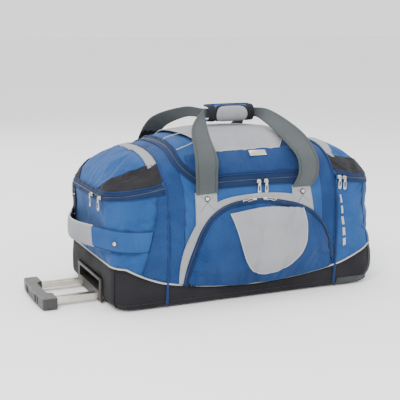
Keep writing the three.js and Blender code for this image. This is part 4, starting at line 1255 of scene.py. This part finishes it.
def wall_details():
    """Ripstop panels beside the hoop, corner seams, the black chevron panel and plain reflective bars."""
    for name, side in (("left", -1), ("right", 1)):
        wall = lambda u, v, side=side: wall_point(u, v, side)
        for place, mirrored in (("front", False), ("back", True)):
            turn = (lambda u: 1 - u) if mirrored else (lambda u: u)
            if side < 0:
                far = [Vector((turn(0.125 - 0.025 * k / 40), 0.03 + 0.90 * k / 40)) for k in range(41)]
                near = [Vector((turn(0.004), 0.03 + 0.90 * k / 40)) for k in range(41)]
                panel = ribbon_between(f"{name}_{place}_ripstop", near, far, wall, 0.0024, RIPSTOP, across=24,
                                       thickness=0.0022)
                seam = cord_mesh(f"{name}_{place}_corner_seam", [lifted(wall, p.x, p.y, 0.0026) for p in far],
                                 0.0011, DEEP, sides=6)
            else:
                seam = cord_mesh(f"{name}_{place}_corner_seam",
                                 [lifted(wall, turn(0.215), 0.02 + 0.92 * k / 40, 0.0010) for k in range(41)],
                                 0.0012, DEEP, sides=6)
    left_wall = lambda u, v: wall_point(u, v, -1)
    near = [Vector((0.62, 0.28 + 0.65 * k / 40)) for k in range(41)]
    far = [Vector((0.79, 0.28 + 0.65 * k / 40)) for k in range(41)]
    panel = ribbon_between("left_chevron_panel", near, far, left_wall, 0.0028, BLACK, across=24, thickness=0.0026)
    for k, level in enumerate((0.76, 0.42)):
        path = surface_path([(0.622, level + 0.05), (0.66, level), (0.705, level - 0.10), (0.75, level),
                             (0.788, level + 0.05)], left_wall, 0.0034, 60)
        cord_mesh(f"left_chevron_piping_{k}", path, 0.0012, PIPING_WHITE)
    right_wall = lambda u, v: wall_point(u, v, 1)
    for k in range(5):
        v = 0.20 + 0.125 * k
        bar = ribbon_between(f"right_reflective_bar_{k}", [Vector((0.036, v + 0.09 * t / 10)) for t in range(11)],
                             [Vector((0.052, v + 0.09 * t / 10)) for t in range(11)], right_wall, 0.0022,
                             PIPING_WHITE, across=3, thickness=0.0018)


def inner_lining():
    """The dividers and the floor board keep their shape and take the lining's finish."""
    for node in ("left_divider", "right_divider"):
        dress(node, LINING)
    dress("floor_board", LINING)


def dress(node, material, bevel=0.0, segments=2):
    """Gives a CAD node that stays in view a finish and softened edges."""
    obj = frame["nodes"][node]
    obj.data.materials.clear()
    obj.data.materials.append(material)
    if bevel:
        made = soften(obj, bevel, segments)
        made.angle_limit = math.radians(28)
        made.harden_normals = False
    return obj


# ---------------------------------------------------------------- straps, wrap and grab handle

def strap_edges(front):
    """Outer and inner edge of a carry loop, from anchor to anchor."""
    x, y, z, h = ANCHOR_X, ANCHOR_Y, ANCHOR_Z, WEBBING / 2
    if front:
        outer = [(-x - h, -y, z), (-x - h - 0.001, -y - 0.001, z + 0.040), (-x - h - 0.002, -y + 0.003, z + 0.084),
                 (-x - 0.012, -y + 0.055, z + 0.138), (-0.076, -0.062, 0.418), (-0.040, -0.008, 0.417),
                 (0.021, -0.008, 0.417),
                 (0.082, -0.008, 0.417), (0.106, -0.060, 0.412), (x + 0.024, -y + 0.052, z + 0.118),
                 (x + h + 0.013, -y + 0.008, z + 0.072),
                 (x + h + 0.014, -y - 0.003, z + 0.032), (x + h, -y, z)]
        inner = [(-x + h, -y, z), (-x + h - 0.001, -y - 0.001, z + 0.040), (-x + h + 0.001, -y + 0.004, z + 0.076),
                 (-x + h + 0.006, -y + 0.058, z + 0.116), (-0.066, -0.060, 0.396), (-0.040, -0.008, 0.398),
                 (0.021, -0.008, 0.398),
                 (0.082, -0.008, 0.398), (0.086, -0.062, 0.388), (x - 0.026, -y + 0.058, z + 0.108),
                 (x - h + 0.014, -y + 0.010, z + 0.070),
                 (x - h + 0.014, -y - 0.003, z + 0.032), (x - h, -y, z)]
    else:
        outer = [(-x - h, y, z), (-x - h, y + 0.001, z + 0.042), (-x - h + 0.004, y - 0.003, z + 0.086),
                 (-x - 0.004, y - 0.055, z + 0.138), (-0.070, 0.062, 0.418), (-0.040, 0.007, 0.417),
                 (0.021, 0.007, 0.418),
                 (0.082, 0.007, 0.417), (0.104, 0.062, 0.416), (x + 0.012, y - 0.055, z + 0.138),
                 (x + h, y - 0.003, z + 0.086),
                 (x + h, y + 0.001, z + 0.042), (x + h, y, z)]
        inner = [(-x + h, y, z), (-x + h, y + 0.001, z + 0.042), (-x + h + 0.002, y - 0.004, z + 0.078),
                 (-x + h + 0.004, y - 0.058, z + 0.116), (-0.062, 0.060, 0.396), (-0.040, 0.007, 0.397),
                 (0.021, 0.007, 0.398),
                 (0.082, 0.007, 0.397), (0.088, 0.060, 0.394), (x - h, y - 0.058, z + 0.116),
                 (x - h, y - 0.004, z + 0.078),
                 (x - h, y + 0.001, z + 0.042), (x - h, y, z)]
    return smooth_path(outer, 180), smooth_path(inner, 180)


def straps():
    """Two webbing carry loops with selvedges and stitching."""
    for name, front in (("front", True), ("back", False)):
        outer, inner = strap_edges(front)
        across = 10
        rows = [[a.lerp(b, i / across) for a, b in zip(outer, inner)] for i in range(across + 1)]

        def sway(p, i, j):
            cup = 0.0006 * (1 - (2 * i / 10 - 1) ** 2)
            return cup + 0.0010 * noise.noise(Vector((j * 0.05, i * 0.05, 3 if front else 8)))

        rows = relief(rows, sway)
        obj = grid(f"{name}_strap_web", rows, STRAP, body=f"{name}_handle", outward=-1 if front else 1)
        # The inner face of each loop takes the dark colour: painted shade on the side of the webbing turned away
        # from the lights.
        obj.data.materials.append(STRAP_SHADE_AND_THREAD)
        thicken(obj, 0.0024, 0).material_offset = 1
        # Near the wrap, the handle-end leg of the back strap is lit on its inner face too, so it gets no painted
        # shade there and shows plain webbing on both sides.
        obj.data.materials.append(STRAP)
        obj.data.materials.append(STRAP)
        for face in obj.data.polygons:
            p = face.center - ORIGIN
            if not front and -0.142 < p.x < -0.036 and p.z > 0.352:
                face.material_index = 2
        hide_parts(f"{name}_strap")
        for k, row in ((0, rows[0]), (1, rows[-1])):
            cord_mesh(f"{name}_strap_selvedge_{k}", row, 0.0014, STRAP, body=f"{name}_handle", sides=8)
        sign = -1 if front else 1
        for k, row in ((0, 1), (1, across - 1)):
            for leg, part in (("left", rows[row][2:62]), ("right", rows[row][-62:-2])):
                path = [p + Vector((0, sign * 0.0016, 0.0002)) for p in part]
                stitches(f"{name}_strap_{leg}_stitch_{k}", dense(path), STRAP_SHADE_AND_THREAD, body=f"{name}_handle")


WRAP_SECTION = [(0.0155, 0.0180), (0.005, 0.0183), (-0.006, 0.0176), (-0.0140, 0.0122), (-0.0170, 0.0),
                (-0.0140, -0.0122), (-0.006, -0.0176), (0.005, -0.0183), (0.0155, -0.0180)]
wrap_section = [Vector((p.x, p.y)) for p in smooth_path([(*q, 0) for q in WRAP_SECTION], 64)]


def wrap_point(s, a):
    """s 0..1 along the wrap, a 0..1 round its section from the upper lip to the lower lip."""
    k = min(63.999, max(0.0, a * 64))
    q = wrap_section[int(k)].lerp(wrap_section[int(k) + 1], k - int(k))
    fat = 0.985 + 0.045 * (1 - abs(2 * s - 1) ** 6)
    return Vector((-0.0375 + 0.117 * s, q.x * fat, 0.407 + q.y * fat))


def wrap_lift(s, a, lift):
    """A point raised off the wrap's section."""
    d = 0.004
    along = wrap_point(min(1, s + d), a) - wrap_point(max(0, s - d), a)
    around = wrap_point(s, min(1, a + d)) - wrap_point(s, max(0, a - d))
    normal = along.cross(around).normalized()
    here = wrap_point(s, a)
    if normal.dot(here - Vector((here.x, WRAP_MIDDLE.y, WRAP_MIDDLE.z))) < 0:
        normal.negate()
    return here + normal * lift


def wrap_skin(name, s_range, a_range, lift, material, n=40, m=48, thickness=0.003, oval=False, puff=0.0, seed=0):
    """A skin round the wrap over part of its length and section; oval rounds its ends."""
    rows = []
    for i in range(n + 1):
        s = s_range[0] + (s_range[1] - s_range[0]) * i / n
        middle, half = (a_range[0] + a_range[1]) / 2, (a_range[1] - a_range[0]) / 2
        if oval:
            half *= max(0.02, 1 - abs(2 * i / n - 1) ** 4) ** 0.5
        line = []
        for j in range(m + 1):
            a = middle + half * (2 * j / m - 1)
            swell = puff * math.sin(math.pi * j / m) ** 0.5 * math.sin(math.pi * i / n) ** 0.3 if puff else 0
            crease = 0.0005 * noise.noise(Vector((s * 22, a * 9, seed)))
            line.append(wrap_lift(s, a, lift + swell + crease))
        rows.append(line)
    obj = grid(name, rows, material, body="front_handle")
    middle = ORIGIN + WRAP_MIDDLE
    score = sum((p.center - Vector((p.center.x, middle.y, middle.z))).dot(p.normal) * p.area
                for p in obj.data.polygons)
    if score < 0:
        obj.data.flip_normals()
    thicken(obj, thickness)
    return obj


def wrap():
    """Padded wrap grip: blue body, black bands and surround, grey oval."""
    body = wrap_skin("wrap_cloth", (0, 1), (0, 1), 0.0, BLUE, 60, 64)
    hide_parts("wrap_grip")
    for name, low, high in (("left", -0.012, 0.135), ("right", 0.865, 1.012)):
        band = wrap_skin(f"wrap_{name}_band", (max(0, low), min(1, high)), (0.0, 1.0), 0.0014, BLACK, 10, 64,
                         0.0016, seed=4)
    for name, s_range, a_range, lift, material, slot in (
            ("surround", (0.125, 0.875), (0.235, 0.80), 0.0012, BLACK, "black_fabric"),
            ("oval", (0.155, 0.845), (0.325, 0.745), 0.0022, GREY, "grey_fabric")):
        pad = wrap_skin(f"wrap_{name}", s_range, a_range, lift, material, 48, 24, 0.0014, oval=True,
                        puff=0.0012 if name == "oval" else 0)
    for name, a in (("upper", 0.012), ("lower", 0.988)):
        path = [wrap_lift(k / 50, a, 0.0004) for k in range(51)]
        cord_mesh(f"wrap_{name}_lip", path, 0.0021, PIPING_BLUE, body="front_handle")


STAND_OFF = [(0.12, 4.4), (0.18, 4.4), (0.24, 4.6), (0.30, 5), (0.35, 9), (0.40, 24), (0.45, 40), (0.50, 46),
             (0.55, 40), (0.60, 24), (0.65, 9), (0.70, 5), (0.76, 4.6), (0.82, 4.4), (0.88, 4.4)]


def grab_handle():
    """Grab handle at the handle end: blue ends, grey middle, bound edges and two rivets."""
    count = 160
    edges = []
    for level in (0.1365, 0.1795):
        edges.append(smooth_path([outline(u, lambda x, z=level: z, -1, -off * MM) for u, off in STAND_OFF], count))
    across = 14

    def rows_between(first, last, bulge):
        out = []
        for i in range(across + 1):
            t = i / across
            line = []
            for j in range(first, last + 1):
                p = edges[0][j].lerp(edges[1][j], t)
                ahead = edges[0][min(j + 1, count)] - edges[0][max(j - 1, 0)]
                normal = Vector((-ahead.y, ahead.x, 0)).normalized()
                if normal.dot(p - Vector((-0.15, 0, p.z))) < 0:
                    normal.negate()
                line.append(p + normal * bulge * math.sin(math.pi * t) ** 0.6)
            out.append(line)
        return out

    made = None
    for name, first, last, material, slot, bulge in (
            ("front_end", 0, 58, BLUE, "blue_fabric", 0.0010), ("middle", 57, 103, GREY, "grey_fabric", 0.0022),
            ("back_end", 102, 160, BLUE, "blue_fabric", 0.0010)):
        obj = face_away(grid(f"grab_{name}", rows_between(first, last, bulge), material))
        thicken(obj, 0.0046 if name == "middle" else 0.0040, 0)
        made = made or obj
    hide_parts("grab_handle")
    for k, edge in enumerate(edges):
        cord_mesh(f"grab_binding_{k}", edge[56:105], 0.0023, PIPING_WHITE)
        cord_mesh(f"grab_edge_front_{k}", edge[:57], 0.0022, PIPING_BLUE)
        cord_mesh(f"grab_edge_back_{k}", edge[104:], 0.0022, PIPING_BLUE)
    for k, u in enumerate((0.285, 0.715)):
        here = outline(u, lambda x: 0.153, -1, -0.0076)
        inner_point = outline(u, lambda x: 0.153, -1, 0.0)
        rivet(f"grab_rivet_{k}", here, (here - inner_point).normalized(), 0.0062, BAG)


# ---------------------------------------------------------------- rivets, sliders and pulls
def lathe(name, profile, centre, axis, material, body=BAG, segments=40):
    """Turns (radius, height) points about an axis through centre."""
    axis = axis.normalized()
    side = axis.orthogonal().normalized()
    up = axis.cross(side)
    verts, faces = [], []
    for r, h in profile:
        for k in range(segments):
            a = 2 * math.pi * k / segments
            verts.append(at(*(centre + axis * h + (side * math.cos(a) + up * math.sin(a)) * max(r, 1e-5))))
    for i in range(len(profile) - 1):
        for k in range(segments):
            p, q = i * segments + k, i * segments + (k + 1) % segments
            faces.append((p, q, q + segments, p + segments))
    obj = new_object(name, verts, faces, material)
    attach(obj, body)
    return obj


def rivet(name, centre, axis, radius, body):
    """Snap rivet: a dark ring with a domed cap."""
    r = radius / RIVET_DRAWN
    profile = [(6.9 * r, -0.4), (6.9 * r, 0.9), (6.2 * r, 1.3), (5.0 * r, 1.2), (4.7 * r, 1.6), (4.2 * r, 2.6),
               (3.2 * r, 3.3), (1.7 * r, 3.7), (0, 3.8)]
    ring = lathe(f"{name}_ring", [(a * MM, h * MM) for a, h in profile[:4]], centre, axis, DARK_METAL_AND_TUBE_SHADOW, body)
    cap = lathe(f"{name}_cap", [(a * MM, h * MM) for a, h in [(5.1 * r, 0.6)] + profile[3:]], centre, axis, NICKEL,
                body)
    return cap


def strap_rivets():
    """Rivets that hold the carry loops, over grey patches at the back."""
    for place, sign in (("front", -1), ("back", 1)):
        surface = lambda x, z, sign=sign: Vector((x, sign * outer_y(x, z), z))
        for hand, across in (("left", -1), ("right", 1)):
            centre = lifted(surface, across * ANCHOR_X, 0.240, 0.0034)
            cap = rivet(f"{place}_{hand}_anchor", centre, Vector((0, sign, 0.18)), 0.0060, BAG)
            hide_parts(f"{place}_{hand}_strap_rivet")
            if sign > 0:
                x = across * ANCHOR_X
                block = patch(f"back_{hand}_anchor_patch", [(x - 0.028, 0.196), (x, 0.188), (x + 0.028, 0.196)],
                              [(x - 0.0265, 0.254), (x, 0.2545), (x + 0.0265, 0.254)], surface, 0.0028, 30, 14,
                              GREY)


ZIPPERS = (("lid_left", (0.009, -0.1825, 0.272), 0.0), ("lid_right", (0.027, -0.1825, 0.272), 0.0),
           ("left_front", 0.33, -1), ("left_end", 0.41, -1), ("right_near", 0.035, 1), ("right_far", 0.11, 1))


def zipper_frames():
    """Where each slider sits and the angle about Z that it faces."""
    for name, where, value in ZIPPERS:
        if isinstance(where, tuple):
            yield name, Vector(where), value
            continue
        here = outline(where, lip_z, value, -0.0022)
        ahead = outline(where + 0.004, lip_z, value, -0.0022)
        out = Vector((ahead.y - here.y, here.x - ahead.x, 0)) * value
        yield name, here - Vector((0, 0, 0.001)), math.atan2(out.x, -out.y)


def zippers():
    """Sliders and swinging pulls of the lid and the end pockets."""
    for name, place, facing in zipper_frames():
        def local(x, y, z):
            return place + Vector((x * math.cos(facing) - y * math.sin(facing),
                                   x * math.sin(facing) + y * math.cos(facing), z))

        body = rounded_box(f"{name}_slider_body", local(0, -0.0026, -0.0020), (0.0048, 0.0023, 0.0040), NICKEL,
                           bevel=0.0014, turn=facing)
        nose = rounded_box(f"{name}_slider_nose", local(0, -0.0026, 0.0012), (0.0030, 0.0020, 0.0018), NICKEL,
                           bevel=0.0010, turn=facing)
        arch = cord_mesh(f"{name}_slider_bridge", [local(0, -0.0040 - 0.0012 * math.sin(math.pi * t / 10),
                                                         0.0020 - 0.0072 * t / 10) for t in range(11)],
                         0.0008, NICKEL, sides=8)
        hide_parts(f"{name}_slider")
        tab = f"{name}_tab"
        ring = cord_mesh(f"{name}_pull_ring", [local(0.0031 * math.cos(2 * math.pi * k / 20), -0.0072,
                                                     -0.0022 + 0.0032 * math.sin(2 * math.pi * k / 20))
                                               for k in range(20)], 0.0009, NICKEL, body=tab, closed=True)
        outline_shape = [(-0.0026, -0.0055), (-0.0034, -0.010), (-0.0040, -0.018), (-0.0041, -0.0245),
                         (-0.0032, -0.0285),
                         (0, -0.0298), (0.0032, -0.0285), (0.0041, -0.0245), (0.0040, -0.018), (0.0034, -0.010),
                         (0.0026, -0.0055)]
        n = len(outline_shape)
        verts = [at(*local(x, y, z)) for y in (-0.0082, -0.0061) for x, z in outline_shape]
        faces = [tuple(range(n)),
                 tuple(reversed(range(n, 2 * n)))] + [(k, k + n, (k + 1) % n + n, (k + 1) % n) for k in range(n)]
        plate = new_object(f"{name}_pull_plate", verts, faces, NICKEL, smooth=False)
        soften(plate, 0.0006, 3)
        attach(plate, tab)
        grip = rounded_box(f"{name}_pull_inlay", local(0, -0.0082, -0.0170), (0.0019, 0.0005, 0.0060), DARK_METAL_AND_TUBE_SHADOW,
                           body=tab, bevel=0.0004, turn=facing)
        hole = rounded_box(f"{name}_pull_slot", local(0, -0.0082, -0.0262), (0.0014, 0.0004, 0.0010), DARK_METAL_AND_TUBE_SHADOW,
                           body=tab, bevel=0.0003, turn=facing)
        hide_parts(f"{name}_pull")


# ---------------------------------------------------------------- trolley, wheels and guards
def trolley():
    """Tubes, channels, grip and bezel of the pull-out handle."""
    for node in ("front_trolley_tube", "back_trolley_tube"):
        dress(node, ALLOY, 0.0022, 3)
    for node in ("front_channel", "back_channel"):
        dress(node, ALLOY, 0.0012, 2)
    dress("channel_bracket", SLATE, 0.0010)
    dress("trolley_grip", GRIP, 0.0016, 3)
    dress("release_button", SLATE, 0.0012, 3)
    dress("handle_bezel", BEZEL_FINISH, 0.0014, 3)
    # Soft inlay ridges along the outside of the grip.
    for k in range(7):
        y = -0.054 + 0.018 * k
        if abs(y) < 0.030:
            continue
        x = -0.4735 + 0.006 * (y / 0.088) ** 2
        ridge = rounded_box(f"grip_ridge_{k}", (x + 0.0006, y, TUBE_Z), (0.0012, 0.0030, 0.0078), SLATE,
                            body="trolley", bevel=0.0008)
    # A thin dark strip along the top of each exposed tube is painted shadow.
    for name, side in (("front", -1), ("back", 1)):
        tube_shadow_strip = rounded_box(f"{name}_tube_groove", (-0.385, side * TUBE_Y, TUBE_Z + 0.0060),
                           (0.044, 0.0011, 0.00035), DARK_METAL_AND_TUBE_SHADOW, body="trolley", bevel=0.0002)
    # Raised rim and screws of the bezel.
    rim_points = [(-0.089, 0.0070), (-0.089, 0.0535), (0.089, 0.0535), (0.089, 0.0070)]
    loop = []
    for k, (y, z) in enumerate(rim_points):
        y2, z2 = rim_points[(k + 1) % 4]
        for t in range(14):
            f = 0.05 + 0.9 * t / 13
            loop.append(Vector((-0.3341, y + (y2 - y) * f, z + (z2 - z) * f)))
    cord_mesh("bezel_rim", loop, 0.0014, BEZEL_FINISH, closed=True)
    for k, (y, z) in enumerate(((-0.085, 0.0300), (0.085, 0.0300), (-0.040, 0.0545), (0.040, 0.0545))):
        screw = lathe(f"bezel_screw_{k}",
                      [(0.0026, -0.0005), (0.0026, 0.0006), (0.0018, 0.0011), (0.0006, 0.0008), (0, 0.0007)],
                      Vector((-0.3347, y, z)), Vector((-1, 0, 0)), DARK_METAL_AND_TUBE_SHADOW, segments=20)


def wheels():
    """Tyres with grooves, hubs with spokes, caps, axles, housings and feet."""
    for name, side in (("front", -1), ("back", 1)):
        centre = Vector((WHEEL_X, side * WHEEL_Y, WHEEL_R))
        body = f"{name}_wheel"
        axis = Vector((0, 1, 0))
        h, r = WHEEL_HALF, WHEEL_R
        profile = [(HUB_R + 0.0006, -h + 0.0004), (r - 0.0075, -h), (r - 0.0042, -h + 0.0008),
                   (r - 0.0018, -h + 0.0028)]
        for k in range(-3, 4):
            y = k * 0.0027
            profile += [(r - 0.0002, y - 0.0009), (r - 0.0002, y + 0.0006), (r - 0.0013, y + 0.0010),
                        (r - 0.0013, y + 0.0015)]
        profile = profile[:-2] + [(r - 0.0018, h - 0.0028), (r - 0.0042, h - 0.0008), (r - 0.0075, h),
                                  (HUB_R + 0.0006, h - 0.0004)]
        tyre = lathe(f"{name}_tyre", profile, centre, axis, RUBBER, body, 96)
        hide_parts(f"{name}_wheel_tyre")
        dress(f"{name}_wheel_hub", SLATE, 0.0006)
        dress(f"{name}_wheel_bearing", NICKEL, 0.0004)
        dress(f"{name}_axle", NICKEL, 0.0006)
        dress(f"{name}_wheel_housing", SLATE, 0.0016, 3)
        dress(f"{name}_foot", SLATE, 0.0008)
        for face in (-1, 1):
            parts = []
            for k in range(6):
                a = math.pi / 3 * k + 0.2
                inner, outer = 0.0150, HUB_R - 0.0032
                y = face * 0.0068
                p = centre + Vector((math.cos(a) * inner, y, math.sin(a) * inner))
                q = centre + Vector((math.cos(a) * outer, y, math.sin(a) * outer))
                parts.append(capsule(p, q, 0.0023, 10))
            spokes = joined(f"{name}_spokes_{'out' if face > 0 else 'in'}", parts, SLATE, body)
            cap = lathe(f"{name}_cap_{'out' if face > 0 else 'in'}",
                        [(0.0100, 0.0040), (0.0100, 0.0105), (0.0088, 0.0122), (0.0052, 0.0125)],
                        centre, axis * face, SLATE, body, 32)


def corner_guards():
    """Moulded L-shaped guards with a rounded face, along the lower edge and up the wheel-end corner."""
    wide = 0.015
    for name, side in (("front", -1), ("back", 1)):
        def place(t, w, stand, side=side):
            if t < 0.5:
                u, z, du, dz = 0.02 + 0.36 * t, FLOOR_Z + 0.002, 0, 1
            else:
                a = (t - 0.5) * math.pi
                u, z = 0.2 + 0.065 * math.sin(a), FLOOR_Z + 0.002 + 0.092 * (1 - math.cos(a))
                du, dz = -math.sin(a), math.cos(a)
            level = z + dz * w * wide
            p = outline(u + du * w * wide / 0.420, lambda x: level, 1, -stand)
            return Vector((p.x, p.y if side < 0 else -p.y, p.z))

        rows = []
        for i in range(97):
            t = i / 96
            taper = min(1, 12 * t + 0.25, 12 * (1 - t) + 0.25)
            rows.append([place(t, w / 10, 0.0006 + (0.0036 * (1 - abs(w / 5 - 1) ** 4)) * taper)
                         for w in range(11)])
        guard = face_away(grid(f"{name}_guard", rows, SLATE))
        thicken(guard, 0.0022)
        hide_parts(f"{name}_corner_guard")
        line = cord_mesh(f"{name}_guard_lip", [row[10] for row in rows], 0.0015, SLATE, sides=8)


def base_seams():
    """Corner welts down the base at the handle end and a row of stitches above its lower edge."""
    for name, mirrored in (("front", False), ("back", True)):
        u = 0.30 if not mirrored else 0.70
        line = []
        for k in range(31):
            z = FLOOR_Z + 0.006 + (edge_z(0.31) - 0.016) * k / 30
            line.append(outline(u, lambda x, z=z: z, -1, -0.0010))
        cord_mesh(f"base_{name}_corner_welt", line, 0.0013, BLACK, sides=6)
    low = ring_points(lambda x: 0.0165, -0.0012, 60, 40)
    stitches("base_stitch", dense(low, 0.0016), DARK_METAL_AND_TUBE_SHADOW, length=0.0045, gap=0.0025)


# ---------------------------------------------------------------- cloth settling
def border_of(mesh):
    """Vertices on the open edge of a surface."""
    used = {}
    for face in mesh.polygons:
        for key in face.edge_keys:
            used[key] = used.get(key, 0) + 1
    return sorted({v for key, n in used.items() if n == 1 for v in key})


def settle(obj, pressure, cap, slack_share, frames=20):
    """Lets a padded skin fill out under its stuffing, held at its seams, and keeps the settled shape."""
    scene = bpy.context.scene
    mesh = obj.data
    others = list(obj.modifiers)
    for m in others:
        m.show_viewport = False
    held = obj.vertex_groups.new(name="held")
    held.add(border_of(mesh), 1.0, "REPLACE")
    made = obj.modifiers.new("settle", "CLOTH")
    made.settings.quality = 6
    made.settings.mass = 0.2
    made.settings.vertex_group_mass = "held"
    made.settings.pin_stiffness = 5
    made.settings.use_pressure = True
    made.settings.uniform_pressure_force = pressure
    made.settings.shrink_min = -slack_share
    made.settings.tension_stiffness = made.settings.compression_stiffness = 30
    made.settings.shear_stiffness = 12
    made.settings.bending_stiffness = 0.25
    made.settings.effector_weights.gravity = 0
    made.collision_settings.use_collision = False
    made.point_cache.frame_start, made.point_cache.frame_end = 1, frames
    for frame_number in range(1, frames + 1):
        scene.frame_set(frame_number)
    shaped = obj.evaluated_get(bpy.context.evaluated_depsgraph_get()).data
    rest = [v.co.copy() for v in mesh.vertices]
    moves = []
    for before, after in zip(rest, shaped.vertices):
        move = after.co - before
        if move.length > cap:
            move *= cap / move.length
        moves.append(move)
    obj.modifiers.remove(made)
    obj.vertex_groups.remove(held)
    scene.frame_set(1)
    for vertex, before, move in zip(mesh.vertices, rest, moves):
        vertex.co = before + move
    mesh.update()
    for m in others:
        m.show_viewport = True
    tree = KDTree(len(rest))
    for k, p in enumerate(rest):
        tree.insert(p, k)
    tree.balance()
    return tree, moves


def move_at(field, point):
    """Settled movement near a point, from its four nearest skin points."""
    tree, moves = field
    total, weight = Vector(), 0.0
    for _, k, distance in tree.find_n(point, 4):
        share = 1 / (distance + 1e-4)
        total += moves[k] * share
        weight += share
    return total / weight


def follow(field, prefixes, rigid=()):
    """Trims sewn to a settled skin move with it; rigid ones move as a whole."""
    if field is None:
        return
    for obj in bpy.context.scene.objects:
        if obj.type != "MESH" or "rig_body" not in obj or not obj.name.startswith(tuple(prefixes)):
            continue
        vertices = obj.data.vertices
        if obj.name.startswith(tuple(rigid)):
            centre = sum((v.co for v in vertices), Vector()) / len(vertices)
            move = move_at(field, centre)
            for v in vertices:
                v.co += move
            continue
        moved = [v.co + move_at(field, v.co) for v in vertices]
        for v, p in zip(vertices, moved):
            v.co = p


def settle_all():
    """Settles the stuffed skins, then moves the trims sewn to each one."""
    objects = bpy.data.objects
    field = settle(objects["front_pocket_cloth"], 5.0, 0.009, 0.035)
    follow(field, ("pocket_grey_panel", "pocket_panel_piping", "pocket_zip_tape", "pocket_zip_coil",
                   "pocket_zip_seam"))
    field = settle(objects["lid_cloth"], 3.0, 0.007, 0.03)
    follow(field, ("lid_visor", "lid_grey", "lid_left_piping", "lid_right_piping", "lid_front_piping", "lid_accent",
                   "lid_badge",
                   "lid_zip_tape_upper", "lid_zip_welt"), ("lid_badge",))
    for name in ("left", "right"):
        field = settle(objects[f"{name}_flap_cloth"], 3.0, 0.007, 0.03)
        follow(field, (f"{name}_grey_band", f"{name}_front_lens", f"{name}_back_lens", f"{name}_zip_tape_upper",
                       f"{name}_zip_welt"))
        field = settle(objects[f"{name}_pocket_cloth"], 2.5, 0.006, 0.03)
        follow(field, (f"{name}_front_ripstop", f"{name}_back_ripstop", f"{name}_front_corner",
                       f"{name}_back_corner", "left_chevron" if name == "left" else "right_reflective",
                       f"{name}_zip_tape_lower", f"{name}_zip_rim"))


# ---------------------------------------------------------------- light, floor and camera
def studio():
    """Pale floor, soft surroundings and four soft lights."""
    floor = bpy.data.meshes.new("floor")
    s = 30
    floor.from_pydata([(-s, -s, 0), (s, -s, 0), (s, s, 0), (-s, s, 0)], [], [(0, 1, 2, 3)])
    ground = bpy.data.objects.new("floor", floor)
    bpy.context.scene.collection.objects.link(ground)
    paint, _, bsdf = shader("floor_paint")
    bsdf.inputs["Base Color"].default_value = (0.93, 0.93, 0.93, 1)
    bsdf.inputs["Roughness"].default_value = 0.9
    bsdf.inputs["Specular IOR Level"].default_value = 0.1
    floor.materials.append(paint)
    world = bpy.data.worlds.new("studio")
    bpy.context.scene.world = world
    world.use_nodes = True
    back = next(n for n in world.node_tree.nodes if n.type == "BACKGROUND")
    back.inputs[0].default_value = (1, 1, 1, 1)
    back.inputs[1].default_value = 1.5
    for name, place, size, power in (("key", (-1.5, -2.0, 2.6), 1.6, 92), ("fill", (2.4, -1.6, 1.6), 2.2, 25),
                                     ("top", (0.2, 0.4, 3.0), 2.4, 38), ("rim", (-0.6, 2.6, 1.8), 1.8, 26)):
        lamp = bpy.data.lights.new(name, "AREA")
        lamp.shape, lamp.size, lamp.energy = "DISK", size, power
        obj = bpy.data.objects.new(name, lamp)
        obj.location = place
        obj.rotation_mode = "QUATERNION"
        obj.rotation_quaternion = (Vector((0, 0, 0.15)) - Vector(place)).to_track_quat("-Z", "Y")
        bpy.context.scene.collection.objects.link(obj)


def camera():
    cam = bpy.data.cameras.new("camera")
    cam.sensor_width, cam.lens = 36.0, 82.2
    obj = bpy.data.objects.new("camera", cam)
    bpy.context.scene.collection.objects.link(obj)
    azimuth, elevation, distance = math.radians(-23.4), math.radians(11.1), 2.2
    target = at(-0.054, 0, 0.199)
    back = Vector((math.sin(azimuth) * math.cos(elevation), -math.cos(azimuth) * math.cos(elevation),
                   math.sin(elevation)))
    obj.location = target + back * distance
    obj.rotation_mode = "QUATERNION"
    obj.rotation_quaternion = (-back).to_track_quat("-Z", "Y")
    bpy.context.scene.camera = obj


main_shell()
lid_cloth()
pocket_walls()
flap_cloths()
hoops()
base()
front_pocket()
pocket_panel()
pocket_zip()
front_trim()
lid_zip()
lid_panels()
label()
end_details()
wall_details()
inner_lining()
straps()
wrap()
grab_handle()
strap_rivets()
zippers()
trolley()
wheels()
corner_guards()
base_seams()
settle_all()
studio()
camera()
